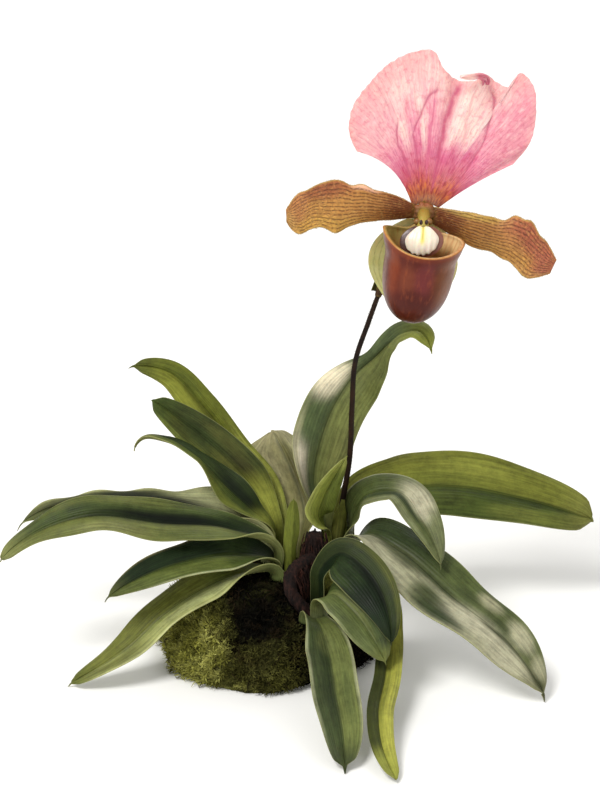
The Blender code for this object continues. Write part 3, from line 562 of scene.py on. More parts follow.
def leaf_middle(shoot, ring, heading, stand, width, way, face=(0, -0.5, 0.87), fold=12, point=0.75, wave=0.0,
                ripples=5, fuller=(1.0, 1.0), mucro=1.0, early=0.0, pinch=()):
    """A leaf's middle surface, from its clasping foot to its tip, with the blade coordinates."""
    axis_x, axis_y, foot_z = SHOOTS[shoot]
    outward = np.array([math.cos(math.radians(heading)), math.sin(math.radians(heading)), 0])
    foot = np.array([axis_x, axis_y, foot_z]) + ring * outward
    upright = [foot, foot + [0, 0, 0.65 * stand], foot + [0, 0, stand]]
    path = smooth_path([*upright, *way], LEAF_ROWS + 1)
    tangents, normals, sides = carried_frames(path, -outward)
    length = np.linalg.norm(np.diff(path, axis=0), axis=1).sum()
    along = np.linspace(0, 1, LEAF_ROWS + 1)
    opened = smooth_step((along * length - stand) / (0.3 * length))
    start = TAPER_START - early
    taper = np.clip((along - start) / (1 - start), 0, 1)
    foot_half = ring * CLASP_ANGLE
    tip_round = np.sqrt(np.clip((1.004 - along) / 0.03, 0.02 + 0.12 * min(1, mucro / 2), 1))
    half = (foot_half + (width / 2 - foot_half) * opened) * (1 - TAPER_LOSS * taper**2.2) ** point * tip_round
    curl = np.maximum((1 - opened) / ring, 1e-4)
    crease = math.radians(fold) * opened
    spread = np.linspace(-1, 1, LEAF_COLUMNS + 1)
    across = np.sign(spread) * (1 - (1 - np.abs(spread)) ** 1.25)
    wider = np.where(across < 0, *fuller) - 1
    faces = np.array(face, float).reshape(-1, 3)
    rows = []
    for i in range(LEAF_ROWS + 1):
        wanted = between(along[i], np.linspace(0, 1, len(faces)), faces)
        wanted = unit(wanted - tangents[i] * (wanted @ tangents[i]))
        twist = math.atan2(wanted @ sides[i], wanted @ normals[i]) * opened[i]
        normal = normals[i] * math.cos(twist) + sides[i] * math.sin(twist)
        side = sides[i] * math.cos(twist) - normals[i] * math.sin(twist)
        reach = np.abs(across) * half[i] * (1 + wider * math.sin(math.pi * along[i]) ** 0.8 * opened[i])
        for sign, at, long, factor in pinch:
            here = (factor - 1) * bump_at(along[i], at, long)
            reach = np.where(np.sign(across) == sign, reach * (1 + here), reach)
        out = (np.sin(crease[i] + curl[i] * reach) - math.sin(crease[i])) / curl[i]
        rise = (math.cos(crease[i]) - np.cos(crease[i] + curl[i] * reach)) / curl[i]
        arch = 0.045 * width * opened[i] * np.sin(math.pi * np.abs(across) ** 0.8) * min(1, half[i] / 3)
        phase = TURN * ripples * along[i] * 0.5
        edge = wave * opened[i] * np.abs(across) ** 3 * np.sin(phase + 1.7 * np.sign(across))
        out, up = (np.sign(across) * out)[:, None], (rise + arch + edge)[:, None]
        rows.append(path[i] + side * out + normal * up)
    for u in np.linspace(0, 1, MUCRO_ROWS + 1)[1:]:
        centre = path[-1] + tangents[-1] * mucro * u - (normal * 0.3 + [0, 0, 0.4]) * mucro * u * u
        rows.append(centre + side * (across * half[-1] * (1 - 0.8 * u))[:, None])
    return np.array(rows), *np.meshgrid(across, np.concatenate([along, np.ones(MUCRO_ROWS)]))


def leaf_finish():
    """Leathery leaf: fine veins along it, streaks, a paler margin, painted shade along the midrib crease and
    a dull sheen.
    """
    net = Net("leaf")
    tint = net.tint()
    across, along, upper = net.blade()
    streaks = net.drawn(across, 7.0, along, 4.0, 1.6, 5.0, 0.62)
    mottle = net.noise(320.0, 4.0, 0.6)
    grain = net.noise(1500.0, 2.0, 0.6)
    veins = net.size(net.math("SINE", net.times(across, 30.0)))
    light = net.plus(
        net.step(streaks, 0.3, 0.7, 0.70, 1.16), net.step(mottle, 0.3, 0.7, -0.12, 0.10),
        net.step(net.noise(75.0, 4.0, 0.6), 0.35, 0.65, -0.12, 0.12), net.step(grain, 0.3, 0.7, -0.05, 0.05),
        net.step(veins, 0.0, 0.25, -0.07, 0.0),
    )
    shade = net.node("ShaderNodeVectorMath", operation="SCALE")
    net.put(shade.inputs[0], tint)
    net.put(shade.inputs["Scale"], light)
    edge = net.step(net.size(across), 0.955, 1.0)
    # Painted shade along the midrib crease: the tint darkened there, much more on the upper side than on the
    # lower.
    midrib = net.step(net.size(across), 0.0, 0.045, 1.0, 0.0)
    dark = net.mix(upper, net.dyed(tint, (235, 235, 225)), net.dyed(tint, (140, 150, 130)))
    colour = net.mix(net.times(edge, 0.45), shade.outputs[0], (158, 160, 104))
    colour = net.mix(net.times(midrib, 0.6), colour, dark)
    height = net.plus(net.times(veins, 0.35), net.times(mottle, 0.6))
    lifted = net.bump(height, 0.00025, 0.7, net.bump(grain, 0.00006, 0.6))
    return net.done(colour, net.step(mottle, 0.3, 0.7, 0.4, 0.55), 0.14, lifted, (0.03, 0.001))


def add_leaves():
    finish = leaf_finish()
    for name, (growth, way, shape, (minus, plus, foot, tip, under), patches) in LEAVES.items():
        middle, across, along = leaf_middle(*growth, way, **shape)
        half = LEAF_HALF_THICK * (1 - 0.65 * np.abs(across) ** 5)
        half = half * (1 - 0.5 * smooth_step((along - 0.9) / 0.1))
        points, faces = blade_shell(middle, half)
        keel = bump_at(across, 0, 0.1) * 0.35 * (1 - along)
        points[across.size:] -= (blade_normals(middle) * keel[..., None]).reshape(-1, 3)
        points[:, 2] = np.maximum(points[:, 2], LEAF_LOWEST)
        # The halves' colours and the patches carry painted light and painted shade besides the leaf's own
        # tone.
        upper = blend(minus, plus, smooth_step(0.5 + across / 0.24))
        upper = blend(upper, foot, 1 - smooth_step(along / 0.22))
        upper = blend(upper, tip, smooth_step((along - 0.84) / 0.16))
        upper = patched(upper, across, along, patches)
        lower = blend(under, foot, 1 - smooth_step(along / 0.15))
        mesh_piece(f"{name}_blade", points, faces, name, finish, tint=np.concatenate([upper, lower]),
                   blade=blade_fields(across, along))


# Flower

FLOWER = np.array([46.0, -1.6, 155.4])
RECEPTACLE_RADIUS = 2.3
CLAW_RADIUS = 2.75
BLADE_HALF_THICK = 0.4
THIN_HALF_THICK = 0.3
DORSAL_RIM = [
    (-21.5, 20), (-24, 27), (-23, 34), (-19, 40.5), (-12, 47.5), (-5, 51.2), (2.2, 51.5), (5.2, 46.5),
    (10.5, 42), (15, 42.6), (18.5, 44.6), (22, 41.6), (26, 40.4), (29.3, 44.8), (33.2, 41), (34.5, 33),
    (33, 23), (28, 15.5),
]
# Broad folds: place across, width and height in millimetres.
DORSAL_FOLDS = [
    (-0.62, 0.16, 1.4), (-0.12, 0.12, 1.0), (0.17, 0.12, 1.6), (0.72, 0.15, 1.2), (0.94, 0.1, -1.2),
]
DORSAL_CLAW_HALF = 5.2
DORSAL_CUP = 2.2
DORSAL_ROWS = 110
DORSAL_COLUMNS = 230

# Colour of the dorsal sepal from its claw to its rim.
DORSAL_STEPS = [
    (0.0, (128, 84, 40)), (0.06, (164, 88, 48)), (0.14, (196, 96, 74)), (0.24, (200, 90, 114)),
    (0.36, (208, 104, 138)), (0.48, (224, 138, 162)), (0.62, (235, 164, 177)), (0.8, (238, 184, 184)),
    (1.0, (236, 170, 168)),
]
# Deep pink valleys, partly the sepal's own colour and partly painted shade in the folds:
# points (across, along), width, depth in millimetres, colour and strength.
DORSAL_VALLEYS = [
    ([(0.06, 0.1), (0.043, 0.24), (0.017, 0.42), (0.009, 0.7), (0.04, 0.98)],
     0.034, 1.2, (188, 82, 114), 0.95),
    ([(0.68, 0.1), (0.635, 0.25), (0.54, 0.43), (0.52, 0.52), (0.44, 0.65), (0.287, 0.9), (0.24, 0.94)],
     0.018, 1.2, (184, 80, 112), 0.85),
    ([(-0.39, 0.12), (-0.39, 0.23), (-0.383, 0.36), (-0.4, 0.48), (-0.322, 0.555), (-0.235, 0.673),
      (-0.096, 0.84)], 0.016, 0.5, (182, 78, 112), 0.8),
    ([(-0.62, 0.15), (-0.61, 0.35), (-0.626, 0.49), (-0.53, 0.64)], 0.016, 0.5, (184, 78, 112), 0.85),
    ([(-0.2, 0.15), (-0.2, 0.36), (-0.19, 0.49), (-0.139, 0.75)], 0.03, 0.5, (206, 104, 136), 0.8),
    ([(0.3, 0.1), (0.3, 0.25), (0.27, 0.42)], 0.012, 0.3, (196, 84, 120), 0.7),
    ([(0.26, 0.5), (0.183, 0.655), (0.165, 0.81), (0.15, 0.93)], 0.01, 0.2, (222, 146, 150), 0.6),
    ([(-0.44, 0.6), (-0.42, 0.67), (-0.374, 0.745)], 0.016, 0.2, (214, 122, 138), 0.7),
]
# Pale, almost white places, partly the sepal's own white zones and partly painted highlights on the
# folds: across, along, widths and strength.
DORSAL_PALE = [
    (0.14, 0.78, 0.11, 0.2, 0.9), (0.26, 0.64, 0.13, 0.15, 0.95), (0.13, 0.58, 0.08, 0.1, 0.9),
    (0.36, 0.54, 0.09, 0.08, 0.7), (-0.3, 0.68, 0.035, 0.08, 0.8), (-0.5, 0.56, 0.06, 0.14, 0.85),
    (-0.26, 0.5, 0.04, 0.14, 0.85), (-0.42, 0.8, 0.1, 0.08, 0.6), (-0.1, 0.9, 0.2, 0.08, 0.4),
    (-0.7, 0.62, 0.1, 0.12, 0.35),
]
APEX_PATH = [
    (18.4, 1.4, 41.6), (18.2, -0.2, 43.9), (16.6, -1.3, 45.0), (13.4, -1.9, 45.1), (10.2, -1.6, 44.7),
]


def follow(places, along):
    """The across value of a line given as (across, along) points."""
    places = np.array(places)
    return np.interp(along, places[:, 1], places[:, 0])


def dorsal_middle(across, along):
    rim = smooth_path([(x, 0, z) for x, z in DORSAL_RIM], DORSAL_COLUMNS + 1)[:, [0, 2]]
    angle = 0.95 * across + 0.15
    claw = np.stack([DORSAL_CLAW_HALF * np.sin(angle), CLAW_RADIUS * np.cos(angle)], axis=-1)
    reach = rim[None] - claw
    sideways = unit(np.stack([-reach[..., 1], reach[..., 0]], axis=-1))
    bow = 4 * along * (1 - along) * (0.8 * np.maximum(0, across) ** 4 - 3.6 * np.maximum(0, -across))
    ragged = 0.35 * np.sin(61 * across + 3 * np.sin(17 * across)) + 0.25 * np.sin(143 * across)
    teeth = 0.006 + 0.007 * smooth_step(-0.1 - across)
    flat = claw + reach * (along + teeth * ragged * along**6)[..., None] + sideways * bow[..., None]
    relief = sum(height * bump_at(across, at, wide) for at, wide, height in DORSAL_FOLDS)
    for places, wide, deep, _, _ in DORSAL_VALLEYS:
        near = bump_at(across, follow(places, along), 2.0 * wide)
        relief = relief - deep * near * smooth_step((along - places[0][1]) / 0.3)
    cup = DORSAL_CUP * along**2 * across**2
    frill = 0.5 * along**5 * np.sin(26 * across + 1.3)
    depth = 0.9 - relief * along**1.7 - cup + 1.5 * along + frill
    return FLOWER + np.stack([flat[..., 0], depth, flat[..., 1]], axis=-1)


def dorsal_tint(across, along):
    """The sepal's colour, and how strongly each point lies in a valley."""
    marks, colours = zip(*DORSAL_STEPS)
    tint = between(along, marks, [linear(colour) for colour in colours])
    wander = across + 0.006 * np.sin(31 * along + 5 * across) + 0.003 * np.sin(67 * along + 9 * across)
    # The pale places, partly painted highlights on the folds.
    for at, place, wide, long, amount in DORSAL_PALE:
        spread = np.abs((wander - at) / wide) ** 2.6 + np.abs((along - place) / long) ** 2.6
        tint = blend(tint, (246, 216, 204), amount * np.exp(-spread))
    outer = smooth_step((along - 0.4) / 0.3)
    rim = smooth_step((along - 0.9) / 0.1)
    tint = blend(tint, (218, 132, 152), 0.8 * smooth_step((across - 0.42) / 0.2) * outer * (1 - 0.5 * rim))
    tint = blend(tint, (234, 160, 170), 0.45 * smooth_step((-0.5 - across) / 0.3) * outer * (1 - rim))
    valleys = np.zeros(across.shape)
    # The valley colour, partly painted shade in the folds.
    for places, wide, _, colour, strength in DORSAL_VALLEYS:
        near = np.exp(-np.abs((wander - follow(places, along)) / wide) ** 1.6)
        first, last = places[0][1], places[-1][1]
        ends = smooth_step((along - first) / 0.1 + 0.3) * smooth_step((last - along) / 0.08 + 0.4)
        tint = blend(tint, colour, strength * near * ends)
        valleys = np.maximum(valleys, strength * near * ends)
    green = bump_at(across, 0, 0.35) * smooth_step((0.12 - along) / 0.1)
    return blend(tint, (150, 118, 50), 0.5 * green), valleys


def sepal_veins(net, across, along, count, wobble):
    """Radiating veins: count lines over the blade, which wander, fork towards the rim and break off here and
    there.
    """
    drift = net.drawn(across, 3.0, along, 2.5)
    bent = net.plus(across, net.times(net.math("SUBTRACT", drift, 0.5), wobble))
    lines = net.math("PINGPONG", net.times(bent, count), 0.5)
    forks = net.math("PINGPONG", net.math("MULTIPLY_ADD", bent, 2.0 * count, 0.37), 0.5)
    main = net.step(lines, 0.03, 0.16, 1.0, 0.0)
    fine = net.times(net.step(forks, 0.03, 0.2, 1.0, 0.0), net.step(along, 0.35, 0.6))
    broken = net.step(net.drawn(across, 20.0, along, 7.0, 2.5), 0.35, 0.6)
    return net.times(net.math("MAXIMUM", main, net.times(fine, 0.7)), broken)


def dorsal_finish():
    """Pink sepal: pale and rose strokes, stipple, dark veins and a brown-spotted claw."""
    net = Net("dorsal_sepal")
    tint = net.tint()
    across, along, valleys = net.blade()
    veins = sepal_veins(net, across, along, 25.0, 0.07)
    strokes = net.drawn(across, 30.0, along, 9.0, 1.0, 5.0, 0.65)
    stipple = net.noise(620.0, 3.0, 0.65)
    pale = net.times(net.step(strokes, 0.52, 0.68), net.step(along, 0.35, 0.7, 0.0, 0.3))
    rose = net.times(net.step(strokes, 0.34, 0.5, 1.0, 0.0), net.step(along, 0.35, 0.85, 0.75, 0.3))
    colour = net.mix(net.step(net.noise(110.0, 3.0, 0.6), 0.4, 0.65, 0.0, 0.14), tint, (252, 214, 204))
    colour = net.mix(pale, colour, (254, 236, 226))
    colour = net.mix(rose, colour, net.dyed(tint, (232, 168, 206)))
    colour = net.mix(net.step(stipple, 0.52, 0.68, 0.0, 0.4), colour, net.dyed(tint, (228, 150, 178)))
    light = net.times(net.step(stipple, 0.32, 0.46, 0.22, 0.0), net.step(along, 0.3, 0.5))
    colour = net.mix(light, colour, (252, 222, 214))
    fade = net.step(along, 0.15, 0.9, 0.9, 0.45)
    colour = net.mix(net.times(veins, fade), colour, net.mix(0.55, tint, (168, 52, 92)))
    claw = net.step(along, 0.12, 0.3, 1.0, 0.0)
    dashes = net.drawn(across, 6.0, along, 7.0, 2.0, 3.0, 0.6)
    colour = net.mix(net.times(net.step(dashes, 0.38, 0.5, 0.75, 0.0), claw), colour, (140, 44, 52))
    colour = net.mix(net.times(net.step(dashes, 0.52, 0.64, 0.0, 0.7), claw), colour, (216, 128, 62))
    # The deep pink of the valleys, partly painted shade in the folds, shows through the strokes.
    colour = net.mix(net.times(valleys, 0.7), colour, tint)
    lifted = net.bump(net.plus(net.times(veins, -0.5), net.noise(1800.0, 2.0)), 0.00014, 0.7)
    return net.done(colour, 0.6, 0.2, lifted, (0.12, 0.002), Sheen_Weight=0.06, Sheen_Roughness=0.5)


def add_dorsal():
    across, along = grid(-1, 1, DORSAL_COLUMNS + 1, DORSAL_ROWS + 1)
    tint, valleys = dorsal_tint(across, along)
    back = blend(tint, (236, 188, 186), 0.6)
    finish = dorsal_finish()
    blade_piece("dorsal_sepal_blade", dorsal_middle(across, along), across, along, BLADE_HALF_THICK, tint,
                back, "dorsal_sepal", finish, valleys)
    add_dorsal_apex(finish)


def add_dorsal_apex(finish):
    """The sepal's own tip, a small tongue that curls forward over the middle of the rim."""
    path = smooth_path([FLOWER + np.array(place) for place in APEX_PATH], 30)
    across, along = grid(-1, 1, 15, 30)
    half = (1.0 + 0.4 * np.sin(math.pi * along)) * np.sqrt(np.clip(1 - along**6, 0.02, 1))
    _, normals, sides = carried_frames(path, (0.2, -1, 0.3))
    rise = 0.9 * across**2 + 0.25 * np.sin(5 * across + 9 * along)
    middle = path[:, None] + sides[:, None] * (across * half)[..., None] + normals[:, None] * rise[..., None]
    tint = blend((196, 96, 122), (252, 212, 204), smooth_step((along - 0.4) / 0.3))
    blade_piece("dorsal_apex", middle, 0.2 + 0.05 * across, 0.9 + 0.1 * along, THIN_HALF_THICK, tint, tint,
                None, finish, 0.0)


# Upper and lower margin of each petal, from the flower's middle to the tip.
PETALS = {
    "petal_left": (
        [(43.6, -1.9, 157.6), (35.3, -5, 162.6), (28.3, -7, 164.8), (17.5, -9, 168), (10, -11, 166.6),
         (5, -12.6, 163.6), (2.2, -13.4, 160)],
        [(43.3, -2.1, 154.0), (36, -4.2, 153.8), (27, -7.6, 154.2), (17.5, -11, 152.4), (10.5, -12.4, 153.6),
         (6, -13.4, 152.2), (2.4, -13.6, 156)],
    ),
    "petal_right": (
        [(48.3, -1.9, 157.6), (56, -5, 157.2), (64.4, -7, 156.4), (71, -9, 155.4), (77, -10.4, 155),
         (83, -12, 150), (87.6, -13.2, 143.5)],
        [(48.3, -2.1, 152.2), (54, -3.4, 149), (62, -7.6, 145.7), (69.4, -10.4, 143.6), (75, -12, 140.2),
         (80, -13.4, 137.6), (85.6, -13.6, 139)],
    ),
}
PETAL_SWELL = 1.6
PETAL_RIPPLE = 0.8
PETAL_ROWS = 150
PETAL_COLUMNS = 44
PETAL_HAIRS = 520
# Waves of each petal's margins: margin (1 upper, -1 lower), place along, length and height.
PETAL_WAVES = {
    "petal_left": [
        (1, 0.4, 0.05, 1.2), (1, 0.5, 0.04, -0.7), (1, 0.62, 0.06, 0.5), (-1, 0.6, 0.06, -0.7),
        (-1, 0.72, 0.06, 0.5), (-1, 0.86, 0.06, -0.5),
    ],
    "petal_right": [
        (1, 0.5, 0.05, -0.5), (1, 0.6, 0.05, 1.6), (1, 0.72, 0.06, 1.9), (1, 0.84, 0.05, 0.4),
        (-1, 0.5, 0.06, 0.4), (-1, 0.66, 0.05, 0.5), (-1, 0.82, 0.06, -0.9),
    ],
}
# Patches on each petal: across, along, widths, colour and strength.
PETAL_PATCHES = {
    "petal_left": [
        (0.9, 0.68, 0.26, 0.2, (160, 92, 58), 0.9), (0.7, 0.9, 0.4, 0.1, (188, 124, 76), 0.7),
        (0.1, 0.7, 0.2, 0.3, (208, 162, 74), 0.7), (0.99, 0.4, 0.1, 0.11, (240, 186, 158), 0.95),
        (0.5, 0.12, 0.6, 0.12, (124, 66, 32), 0.8), (0.3, 0.95, 0.4, 0.06, (208, 160, 92), 0.7),
    ],
    "petal_right": [
        (0.75, 0.72, 0.35, 0.2, (166, 88, 66), 0.9), (0.5, 0.93, 0.6, 0.12, (172, 94, 72), 0.9),
        (0.4, 0.6, 0.3, 0.12, (186, 130, 72), 0.7), (0.4, 0.36, 0.6, 0.2, (146, 98, 44), 0.85),
        (0.1, 0.56, 0.3, 0.2, (172, 126, 56), 0.6), (0.05, 0.85, 0.12, 0.2, (196, 146, 84), 0.6),
        (0.5, 0.12, 0.6, 0.14, (112, 58, 28), 0.8), (0.95, 0.3, 0.15, 0.2, (176, 152, 60), 0.6),
    ],
}


def petal_finish():
    """Honey brown with dark veins along it and a net of cross veins in the outer half."""
    net = Net("petal")
    tint = net.tint()
    across, along, _ = net.blade()
    bent = net.plus(across, net.times(net.math("SUBTRACT", net.drawn(across, 2.0, along, 5.0), 0.5), 0.12))
    lines = net.math("PINGPONG", net.times(bent, 12.0), 0.5)
    beads = net.drawn(across, 9.0, along, 24.0, 2.0, 2.0)
    veins = net.times(net.step(lines, 0.08, 0.28, 1.0, 0.0), net.step(beads, 0.35, 0.55, 0.25, 1.0))
    cells = net.node("ShaderNodeTexVoronoi", feature="DISTANCE_TO_EDGE")
    net.put(cells.inputs["Vector"], net.join(net.times(bent, 12.0), net.times(along, 30.0)))
    cells.inputs["Scale"].default_value = 1.0
    cross = net.times(net.step(cells.outputs["Distance"], 0.03, 0.14, 1.0, 0.0), net.step(along, 0.3, 0.75))
    mesh = net.math("MAXIMUM", veins, net.times(cross, 0.5))
    wash = net.noise(300.0, 4.0, 0.6)
    colour = net.mix(net.step(wash, 0.3, 0.7, 0.0, 0.35), tint, net.dyed(tint, (210, 190, 150)))
    colour = net.mix(net.step(net.noise(900.0, 3.0, 0.7), 0.5, 0.66, 0.0, 0.3), colour, (214, 166, 92))
    colour = net.mix(net.times(mesh, 0.85), colour, net.mix(0.8, tint, (62, 24, 12)))
    edge = net.step(net.size(net.math("SUBTRACT", across, 0.5)), 0.46, 0.5)
    colour = net.mix(net.times(edge, 0.6), colour, (204, 172, 92))
    lifted = net.bump(net.plus(net.times(mesh, -0.6), net.times(wash, 0.5)), 0.0003, 0.8)
    return net.done(colour, 0.45, 0.3, lifted, (0.05, 0.0015))


def add_petals():
    finish = petal_finish()
    for name, margins in PETALS.items():
        top, bottom = [smooth_path(margin, PETAL_ROWS + 1)[:, None] for margin in margins]
        across, along = grid(0, 1, PETAL_COLUMNS + 1, PETAL_ROWS + 1)
        rim = np.abs(2 * across - 1)
        crimp = 0.018 * along * np.sin(30 * along + 6 * across) * rim**4
        middle = bottom + (top - bottom) * (across + crimp)[..., None]
        for margin, place, long, height in PETAL_WAVES[name]:
            near = np.where(margin > 0, across, 1 - across) ** 4
            middle[..., 2] += height * bump_at(along, place, long) * near
        swell = PETAL_SWELL * np.sin(math.pi * across) * np.sin(math.pi * np.minimum(1, along * 1.3 + 0.05))
        ripple = PETAL_RIPPLE * along * np.sin(17 * along + 2) * rim**2
        middle[..., 1] -= swell + ripple + 0.5 * along * np.sin(44 * along + 4 * across) * rim**5
        tint = blend((136, 80, 38), (196, 142, 72), smooth_step(along / 0.7))
        tint = patched(tint, across, along, PETAL_PATCHES[name])
        tint = blend(tint, (130, 112, 46), 0.7 * smooth_step((0.06 - along) / 0.06))
        back = blend(tint, (176, 140, 84), 0.5)
        if name == "petal_right":
            middle, across, tint, back = middle[:, ::-1], across[:, ::-1], tint[:, ::-1], back[:, ::-1]
        blade_piece(f"{name}_blade", middle, across, along, BLADE_HALF_THICK, tint, back, name, finish)
        add_petal_fringe(name, middle[:, 0], middle[:, -1])


def add_petal_fringe(name, first, last):
    """Fine hairs along both margins of a petal."""
    rng = np.random.default_rng(SEEDS["petal"])
    rows = np.arange(len(first))
    for side, line in (("first", first), ("last", last)):
        at = rng.uniform(4, PETAL_ROWS - 2, PETAL_HAIRS)
        places = between(at, rows, line)
        outward = unit(places - between(at, rows, (first + last) / 2))
        hairs(f"{name}_{side}_fringe", f"{name}_{side}_hair", "petal", places, outward)


SYNSEPAL_LENGTH = 31.0
SYNSEPAL_HALF = 13.6
SYNSEPAL_LEAN = 4.2
SYNSEPAL_NARROWER = 0.16


def synsepal_finish():
    net = Net("synsepal")
    across, along, _ = net.blade()
    veins = sepal_veins(net, across, along, 9.0, 0.06)
    wash = net.noise(220.0, 4.0)
    colour = net.mix(net.step(wash, 0.3, 0.7, 0.0, 0.3), net.tint(), (232, 228, 176))
    colour = net.mix(net.times(veins, 0.55), colour, (112, 122, 52))
    lifted = net.bump(net.plus(wash, net.times(veins, -0.4)), 0.0002, 0.6)
    return net.done(colour, 0.5, 0.35, lifted, (0.15, 0.002), Sheen_Weight=0.15)


def add_synsepal():
    across, along = grid(-1, 1, 61, 81)
    half = 1.9 + SYNSEPAL_HALF * np.sin(math.pi * (0.04 + 0.9 * along) ** 0.85) ** 0.9
    half = half * (1 - SYNSEPAL_NARROWER * np.maximum(0, across))
    start = FLOWER + [0, 1.0, -CLAW_RADIUS - 0.2]
    wavy = 0.35 * np.abs(across) ** 3 * np.sin(13 * along + 2 * across)
    middle = start + np.stack([
        across * half - SYNSEPAL_LEAN * along,
        0.8 * along - 1.3 * across**2 * np.sin(math.pi * along) + wavy,
        -0.16 * across * half - SYNSEPAL_LENGTH * along,
    ], axis=-1)
    tint = blend((196, 194, 120), (176, 178, 98), smooth_step(along))
    blade_piece("synsepal_blade", middle[:, ::-1], across[:, ::-1], along, BLADE_HALF_THICK, tint,
                blend(tint, (150, 158, 76), 0.5), "synsepal", synsepal_finish())


# Pouch

POUCH_RIM = np.array([45.4, -14.2, 151.2])
POUCH_RIM_RADIUS = 12.6
POUCH_BODY_RADIUS = 10.9
POUCH_DEPTH = 28.0
POUCH_ROLL = math.radians(8)
POUCH_ROWS = 90
POUCH_COLUMNS = 128
# Patches on the pouch: bearing, depth, widths, colour and strength. The first two are a painted
# highlight on the front; the others make it redder at the left, browner at the right and darker low
# in front.
POUCH_PATCHES = [
    (4.85, 0.34, 0.3, 0.26, (124, 54, 58), 0.5), (4.35, 0.4, 0.26, 0.22, (140, 76, 48), 0.4),
    (3.9, 0.3, 0.2, 0.35, (128, 56, 24), 0.8), (5.6, 0.35, 0.5, 0.4, (122, 74, 28), 0.6),
    (4.6, 0.62, 0.5, 0.12, (74, 20, 10), 0.7),
]


def pouch_finish():
    net = Net("pouch")
    tint = net.tint()
    depth, turn, _ = net.blade()
    wash = net.noise(140.0, 5.0, 0.6)
    streaks = net.drawn(turn, 26.0, depth, 3.0, 2.0, 4.0)
    colour = net.mix(net.step(wash, 0.35, 0.7, 0.0, 0.4), tint, net.dyed(tint, (190, 130, 110)))
    colour = net.mix(net.times(net.step(streaks, 0.5, 0.75), 0.3), colour, (150, 72, 36))
    grain = net.noise(900.0, 3.0)
    lifted = net.bump(wash, 0.0004, 0.35, net.bump(grain, 0.00005, 0.5))
    return net.done(colour, net.step(grain, 0.3, 0.7, 0.3, 0.42), 0.16, lifted, (0.02, 0.001),
                    Coat_Weight=0.1, Coat_Roughness=0.2)


def pouch_sides(bearing, depth):
    """Points of the pouch's outer and inner side. Its rim rises in two ears and dips in front."""
    flare = (POUCH_RIM_RADIUS - POUCH_BODY_RADIUS) * (1 - smooth_step(depth / 0.28))
    belly = POUCH_BODY_RADIUS * np.sqrt(1 - np.clip((depth - 0.25) / 0.75, 0, 1) ** 2.9)
    dents = 0.25 * np.sin(5 * bearing + 1) * np.sin(math.pi * np.clip(depth, 0, 1)) * smooth_step(depth / 0.2)
    radius = flare + belly + dents
    sideways, forward = np.cos(bearing), -np.sin(bearing)
    ears = (0.7 - 0.7 * sideways) * np.abs(sideways) ** 3 + 3.0 * bump_at(sideways, 0, 0.22) * (forward < 0)
    dips = 2.8 * np.maximum(0, forward) ** 1.5 + 1.2 * np.maximum(0, -forward) ** 2
    local = np.stack([
        radius * sideways, radius * -forward * np.where(forward < 0, 0.94, 0.98),
        -POUCH_DEPTH * depth + (ears - dips) * (1 - depth) ** 3,
    ], axis=-1)
    cos, sin = math.cos(POUCH_ROLL), math.sin(POUCH_ROLL)
    turn = np.array([[cos, 0, sin], [0, 1, 0], [-sin, 0, cos]])
    middle = POUCH_RIM + local @ turn.T
    sideways = np.roll(middle, -1, axis=1) - np.roll(middle, 1, axis=1)
    outward = unit(np.cross(np.gradient(middle, axis=0), sideways))
    outward[-1] = turn @ np.array([0, 0, -1.0])
    half = 0.28 + 0.1 * smooth_step(depth / 0.1) + 0.32 * bump_at(depth, 0, 0.02)
    return middle + outward * half[..., None], middle - outward * half[..., None]


def add_pouch():
    depth = np.linspace(0, 1, POUCH_ROWS + 1) ** 0.85
    bearing, depth = np.meshgrid(np.linspace(0, TURN, POUCH_COLUMNS, endpoint=False), depth)
    points = np.concatenate(pouch_sides(bearing, depth))
    shell = grid_faces(*depth.shape, closed=True)
    top = np.arange(POUCH_COLUMNS)
    after = np.roll(top, -1)
    lip = np.stack([top, after, after + depth.size, top + depth.size], axis=1)
    faces = np.concatenate([shell[:, ::-1], shell + depth.size, lip])
    tint = blend((104, 54, 22), (88, 26, 12), smooth_step(np.maximum(0, -np.sin(bearing)) * 1.4))
    # The first two patches are a painted highlight on the front of the pouch.
    tint = patched(tint, bearing, depth, POUCH_PATCHES)
    tint = blend(tint, (66, 24, 10), 0.7 * smooth_step((depth - 0.55) / 0.4))
    tint = blend(tint, (136, 60, 26), 0.55 * smooth_step((0.12 - depth) / 0.12))
    tint = blend(tint, (198, 138, 76), smooth_step((0.022 - depth) / 0.015))
    # Inside: darker deeper into the pouch, which is painted shade in the hollow.
    inside = blend((206, 168, 104), (150, 92, 52), smooth_step(depth / 0.6))
    leftward = smooth_step(0.5 - 0.7 * np.cos(bearing))
    cheek = blend((238, 206, 150), (176, 168, 92), leftward)
    inside = blend(inside, cheek, 0.9 * smooth_step((0.3 - depth) / 0.25))
    veined = smooth_step(np.sin(34 * bearing + 9 * depth) - 0.3) * smooth_step((0.4 - depth) / 0.3)
    inside = blend(inside, (190, 96, 44), 0.6 * veined * (1 - 0.6 * leftward))
    mesh_piece("pouch_shell", points, faces, "pouch", pouch_finish(), tint=np.concatenate([tint, inside]),
               blade=blade_fields(depth, bearing / TURN))


# Column and shield

STAMINODE = np.array([44.9, -14.4, 150.4])
STAMINODE_HALF = (5.3, 0.8, 4.7)
BOSS_HALF = (3.6, 1.8, 3.4)
BOSS_HAIRS = 700


def waxy_finish(name, roughness=0.35, subsurface=0.15):
    net = Net(name)
    tint = net.tint()
    wash = net.noise(500.0, 4.0)
    colour = net.mix(net.step(wash, 0.35, 0.7, 0.0, 0.16), tint, net.dyed(tint, (200, 190, 150)))
    return net.done(colour, roughness, 0.5, net.bump(wash, 0.0002, 0.5), (subsurface, 0.0015))


